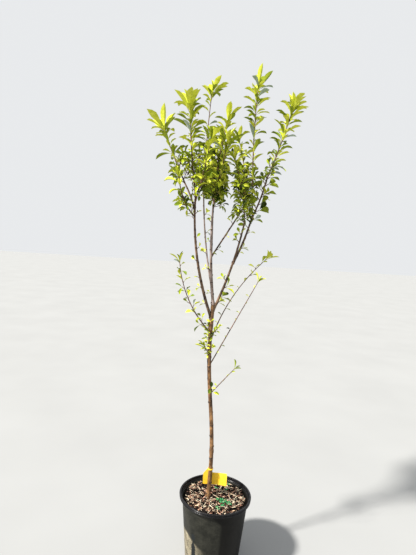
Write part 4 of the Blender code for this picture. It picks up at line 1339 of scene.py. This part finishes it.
def make_mulch():
    """Bark chips of several kinds heaped on the filling, with fibres and a patch of liverwort."""
    tree = scatter_tree()
    bed = disc_mesh("mulch_bed", [(0.0, 0.0, BED_RADIUS)], SOIL_HEIGHT)
    barks = [chip_material(chip.bark, *chip.tones) for chip in CHIPS]
    loose = []
    for chip, bark in zip(CHIPS, barks):
        loose.append(chip_object("chip_" + chip.name, chip.length, chip.width,
                                 chip.width * CHIP_THICKNESS, chip.corners, chip.seed))
        scatter("bark_chips_" + chip.name, tree, bed, loose[-1], bark, density=chip.density,
                seed=chip.seed, smallest=0.35, largest=1.10, tilt=0.60, lift=0.011)
    loose += [fibre_object("fibre", 0.026, 0.0013, 0.003), lobe_object("lobe", 0.0034)]
    scatter("bark_fibres", tree, bed, loose[-2], barks[-1], density=3600.0, seed=11,
            smallest=0.5, largest=1.2, tilt=0.45, lift=0.013)
    patch = disc_mesh("liverwort_bed", LIVERWORT_PLACES, SOIL_HEIGHT + 0.008)
    scatter("liverwort_patch", tree, patch, loose[-1], liverwort_material(), density=60000.0, seed=13,
            smallest=0.5, largest=1.2, tilt=0.5, lift=0.005)
    for item in loose:
        bpy.data.objects.remove(item, do_unlink=True)


# Label

def card_outline():
    """The card's outline: a rectangle with round corners and a tongue that narrows up to the tie."""
    left, right = LABEL_LEFT, LABEL_LEFT + LABEL_WIDTH
    low, high = LABEL_FOOT, LABEL_FOOT + LABEL_HEIGHT
    points = arc(left + LABEL_ROUND, low + LABEL_ROUND, LABEL_ROUND, 180, 270)
    points += arc(right - LABEL_ROUND, low + LABEL_ROUND, LABEL_ROUND, 270, 360)
    points += arc(right - LABEL_ROUND, high - LABEL_ROUND, LABEL_ROUND, 0, 90)
    return points + [(TONGUE_FOOT, high), (TONGUE_RIGHT, TIE_HEIGHT), (TONGUE_LEFT, TIE_HEIGHT),
                     (left, high - LABEL_ROUND)]


def make_label(trunk, card):
    """A plain card that curls slightly, hung from a tie round the trunk."""
    centre = min(trunk, key=lambda place: abs(place.z - TIE_HEIGHT))
    inner = TRUNK_FOOT_RADIUS + TIE_CLEARANCE
    outer = inner + TIE_THICKNESS
    edit = bmesh.new()
    edit.faces.new([edit.verts.new((x, 0.0, z)) for x, z in card_outline()])
    for number in range(1, LABEL_STRIPS):
        place = LABEL_LEFT + LABEL_WIDTH * number / LABEL_STRIPS
        bmesh.ops.bisect_plane(edit, geom=[*edit.verts, *edit.edges, *edit.faces],
                               plane_co=(place, 0.0, 0.0), plane_no=(1.0, 0.0, 0.0))
    bmesh.ops.remove_doubles(edit, verts=edit.verts, dist=0.00001)
    for vertex in edit.verts:
        across = (vertex.co.x - centre.x) / LABEL_WIDTH
        hang = (TIE_HEIGHT - vertex.co.z) / LABEL_HEIGHT
        vertex.co.y = centre.y + outer - LABEL_CURL * across * across * min(hang, 1.0) + 0.001 * hang
    plate = placed("label_plate", mesh_of("label", edit))
    wall = plate.modifiers.new("thickness", "SOLIDIFY")
    wall.thickness = LABEL_THICKNESS
    wall.offset = 0.0
    new_piece("label_card", outward(applied(plate)), [card], "label_card", "plant_label")
    low, high = TIE_HEIGHT - TIE_WIDTH, TIE_HEIGHT
    profile = [(inner, low), (inner, high), (outer, high), (outer, low), (inner, low)]
    ring = turned_mesh("tie", profile, 40)
    edit = bmesh.new()
    edit.from_mesh(ring)
    bmesh.ops.remove_doubles(edit, verts=edit.verts, dist=0.00001)
    bmesh.ops.translate(edit, verts=edit.verts, vec=(centre.x, centre.y, 0.0))
    edit.to_mesh(ring)
    edit.free()
    new_piece("label_tie", outward(ring), [card], "label_card")


# Stage

def make_stage():
    """A pale floor and soft studio light from the upper left."""
    edit = bmesh.new()
    bmesh.ops.create_grid(edit, x_segments=1, y_segments=1, size=40.0)
    floor = placed("floor", mesh_of("floor", edit))
    floor.data.materials.append(floor_material())
    lamp = bpy.data.lights.new("key", "SUN")
    lamp.energy = KEY_STRENGTH
    lamp.angle = KEY_SOFTNESS
    lamp.color = colour("#FFFBF4")[:3]
    placed("key", lamp).rotation_euler = Vector(KEY_PLACE).to_track_quat("Z", "Y").to_euler()
    world = bpy.data.worlds.new("studio")
    world.use_nodes = True
    world.node_tree.nodes["Background"].inputs["Color"].default_value = colour("#F6F8FA")
    world.node_tree.nodes["Background"].inputs["Strength"].default_value = WORLD_STRENGTH
    bpy.context.scene.world = world
    bpy.context.scene.view_settings.view_transform = "Standard"


def make_camera():
    """The photograph's camera: its long side is the sensor's width."""
    lens = bpy.data.cameras.new("photo_camera")
    lens.sensor_width = SENSOR
    lens.lens = FOCAL_PIXELS / PHOTO_HEIGHT * SENSOR
    camera = placed("photo_camera", lens)
    right = Vector((1.0, 0.0, 0.0))
    ahead = Vector((0.0, math.cos(CAMERA_PITCH), -math.sin(CAMERA_PITCH)))
    above = Vector((0.0, math.sin(CAMERA_PITCH), math.cos(CAMERA_PITCH)))
    across = right * math.cos(CAMERA_ROLL) + above * math.sin(CAMERA_ROLL)
    upward = above * math.cos(CAMERA_ROLL) - right * math.sin(CAMERA_ROLL)
    turned = Matrix((across, upward, -ahead)).transposed().to_4x4()
    camera.matrix_world = Matrix.Translation(CAMERA_PLACE) @ turned
    bpy.context.scene.camera = camera


trunk_bark = bark_material("plum_trunk_bark", "#302116", "#684A2E", "#9A734A", "#B49268", "#7A6650")
bough_bark = bark_material("plum_bough_bark", "#33251D", "#58432F", "#806450", "#A08A76", "#6E6258")
pale_bark = bark_material("plum_bough_bloomed_bark", "#5E5048", "#7C6C64", "#968680", "#A89A92", "#908684")
shoot_bark = bark_material("plum_shoot_bark", "#3E2620", "#5E4034", "#7A5846", "#96806A", "#6C5C50")
scar_bark = bark_material("plum_bud_scar_bark", "#1E1612", "#2E221C", "#44342A", "#5C4A3C", "#3C342E")
stalk_skin = leaf_material("leaf_stalk", "#6E5A2A", "#8C8A34", roughness=0.5)
leaf_skins = [leaf_material("plum_leaf_" + name, *values) for name, *values in LEAF_COLOURS]
twig_skins = [bough_bark, shoot_bark, stalk_skin, scar_bark]

make_camera()
make_pot(pot_material(), rim_material())
make_bed(soil_material())
make_mulch()
limb_paths = {"trunk": make_trunk(trunk_bark, scar_bark)}
make_label(limb_paths["trunk"], card_material())
for limb in LIMBS:
    make_limb(limb, limb_paths, pale_bark if limb.name in BLOOMED_LIMBS else bough_bark, scar_bark)
limb_tubes = [thinned(limb_paths["trunk"], 15, TRUNK_FOOT_RADIUS, TRUNK_TIP_RADIUS)]
limb_tubes += [thinned(limb_paths[limb.name], 10, limb.foot_radius, limb.tip_radius) for limb in LIMBS]
mass_stems = {mass.name: limb_path(mass, limb_paths, STEM_STEPS) for mass in MASSES}
for mass in MASSES:
    make_mass(mass, mass_stems, limb_tubes, limb_paths[mass.parent], leaf_skins, twig_skins)
make_tufts(limb_paths, leaf_skins, twig_skins[:-1])
make_stage()
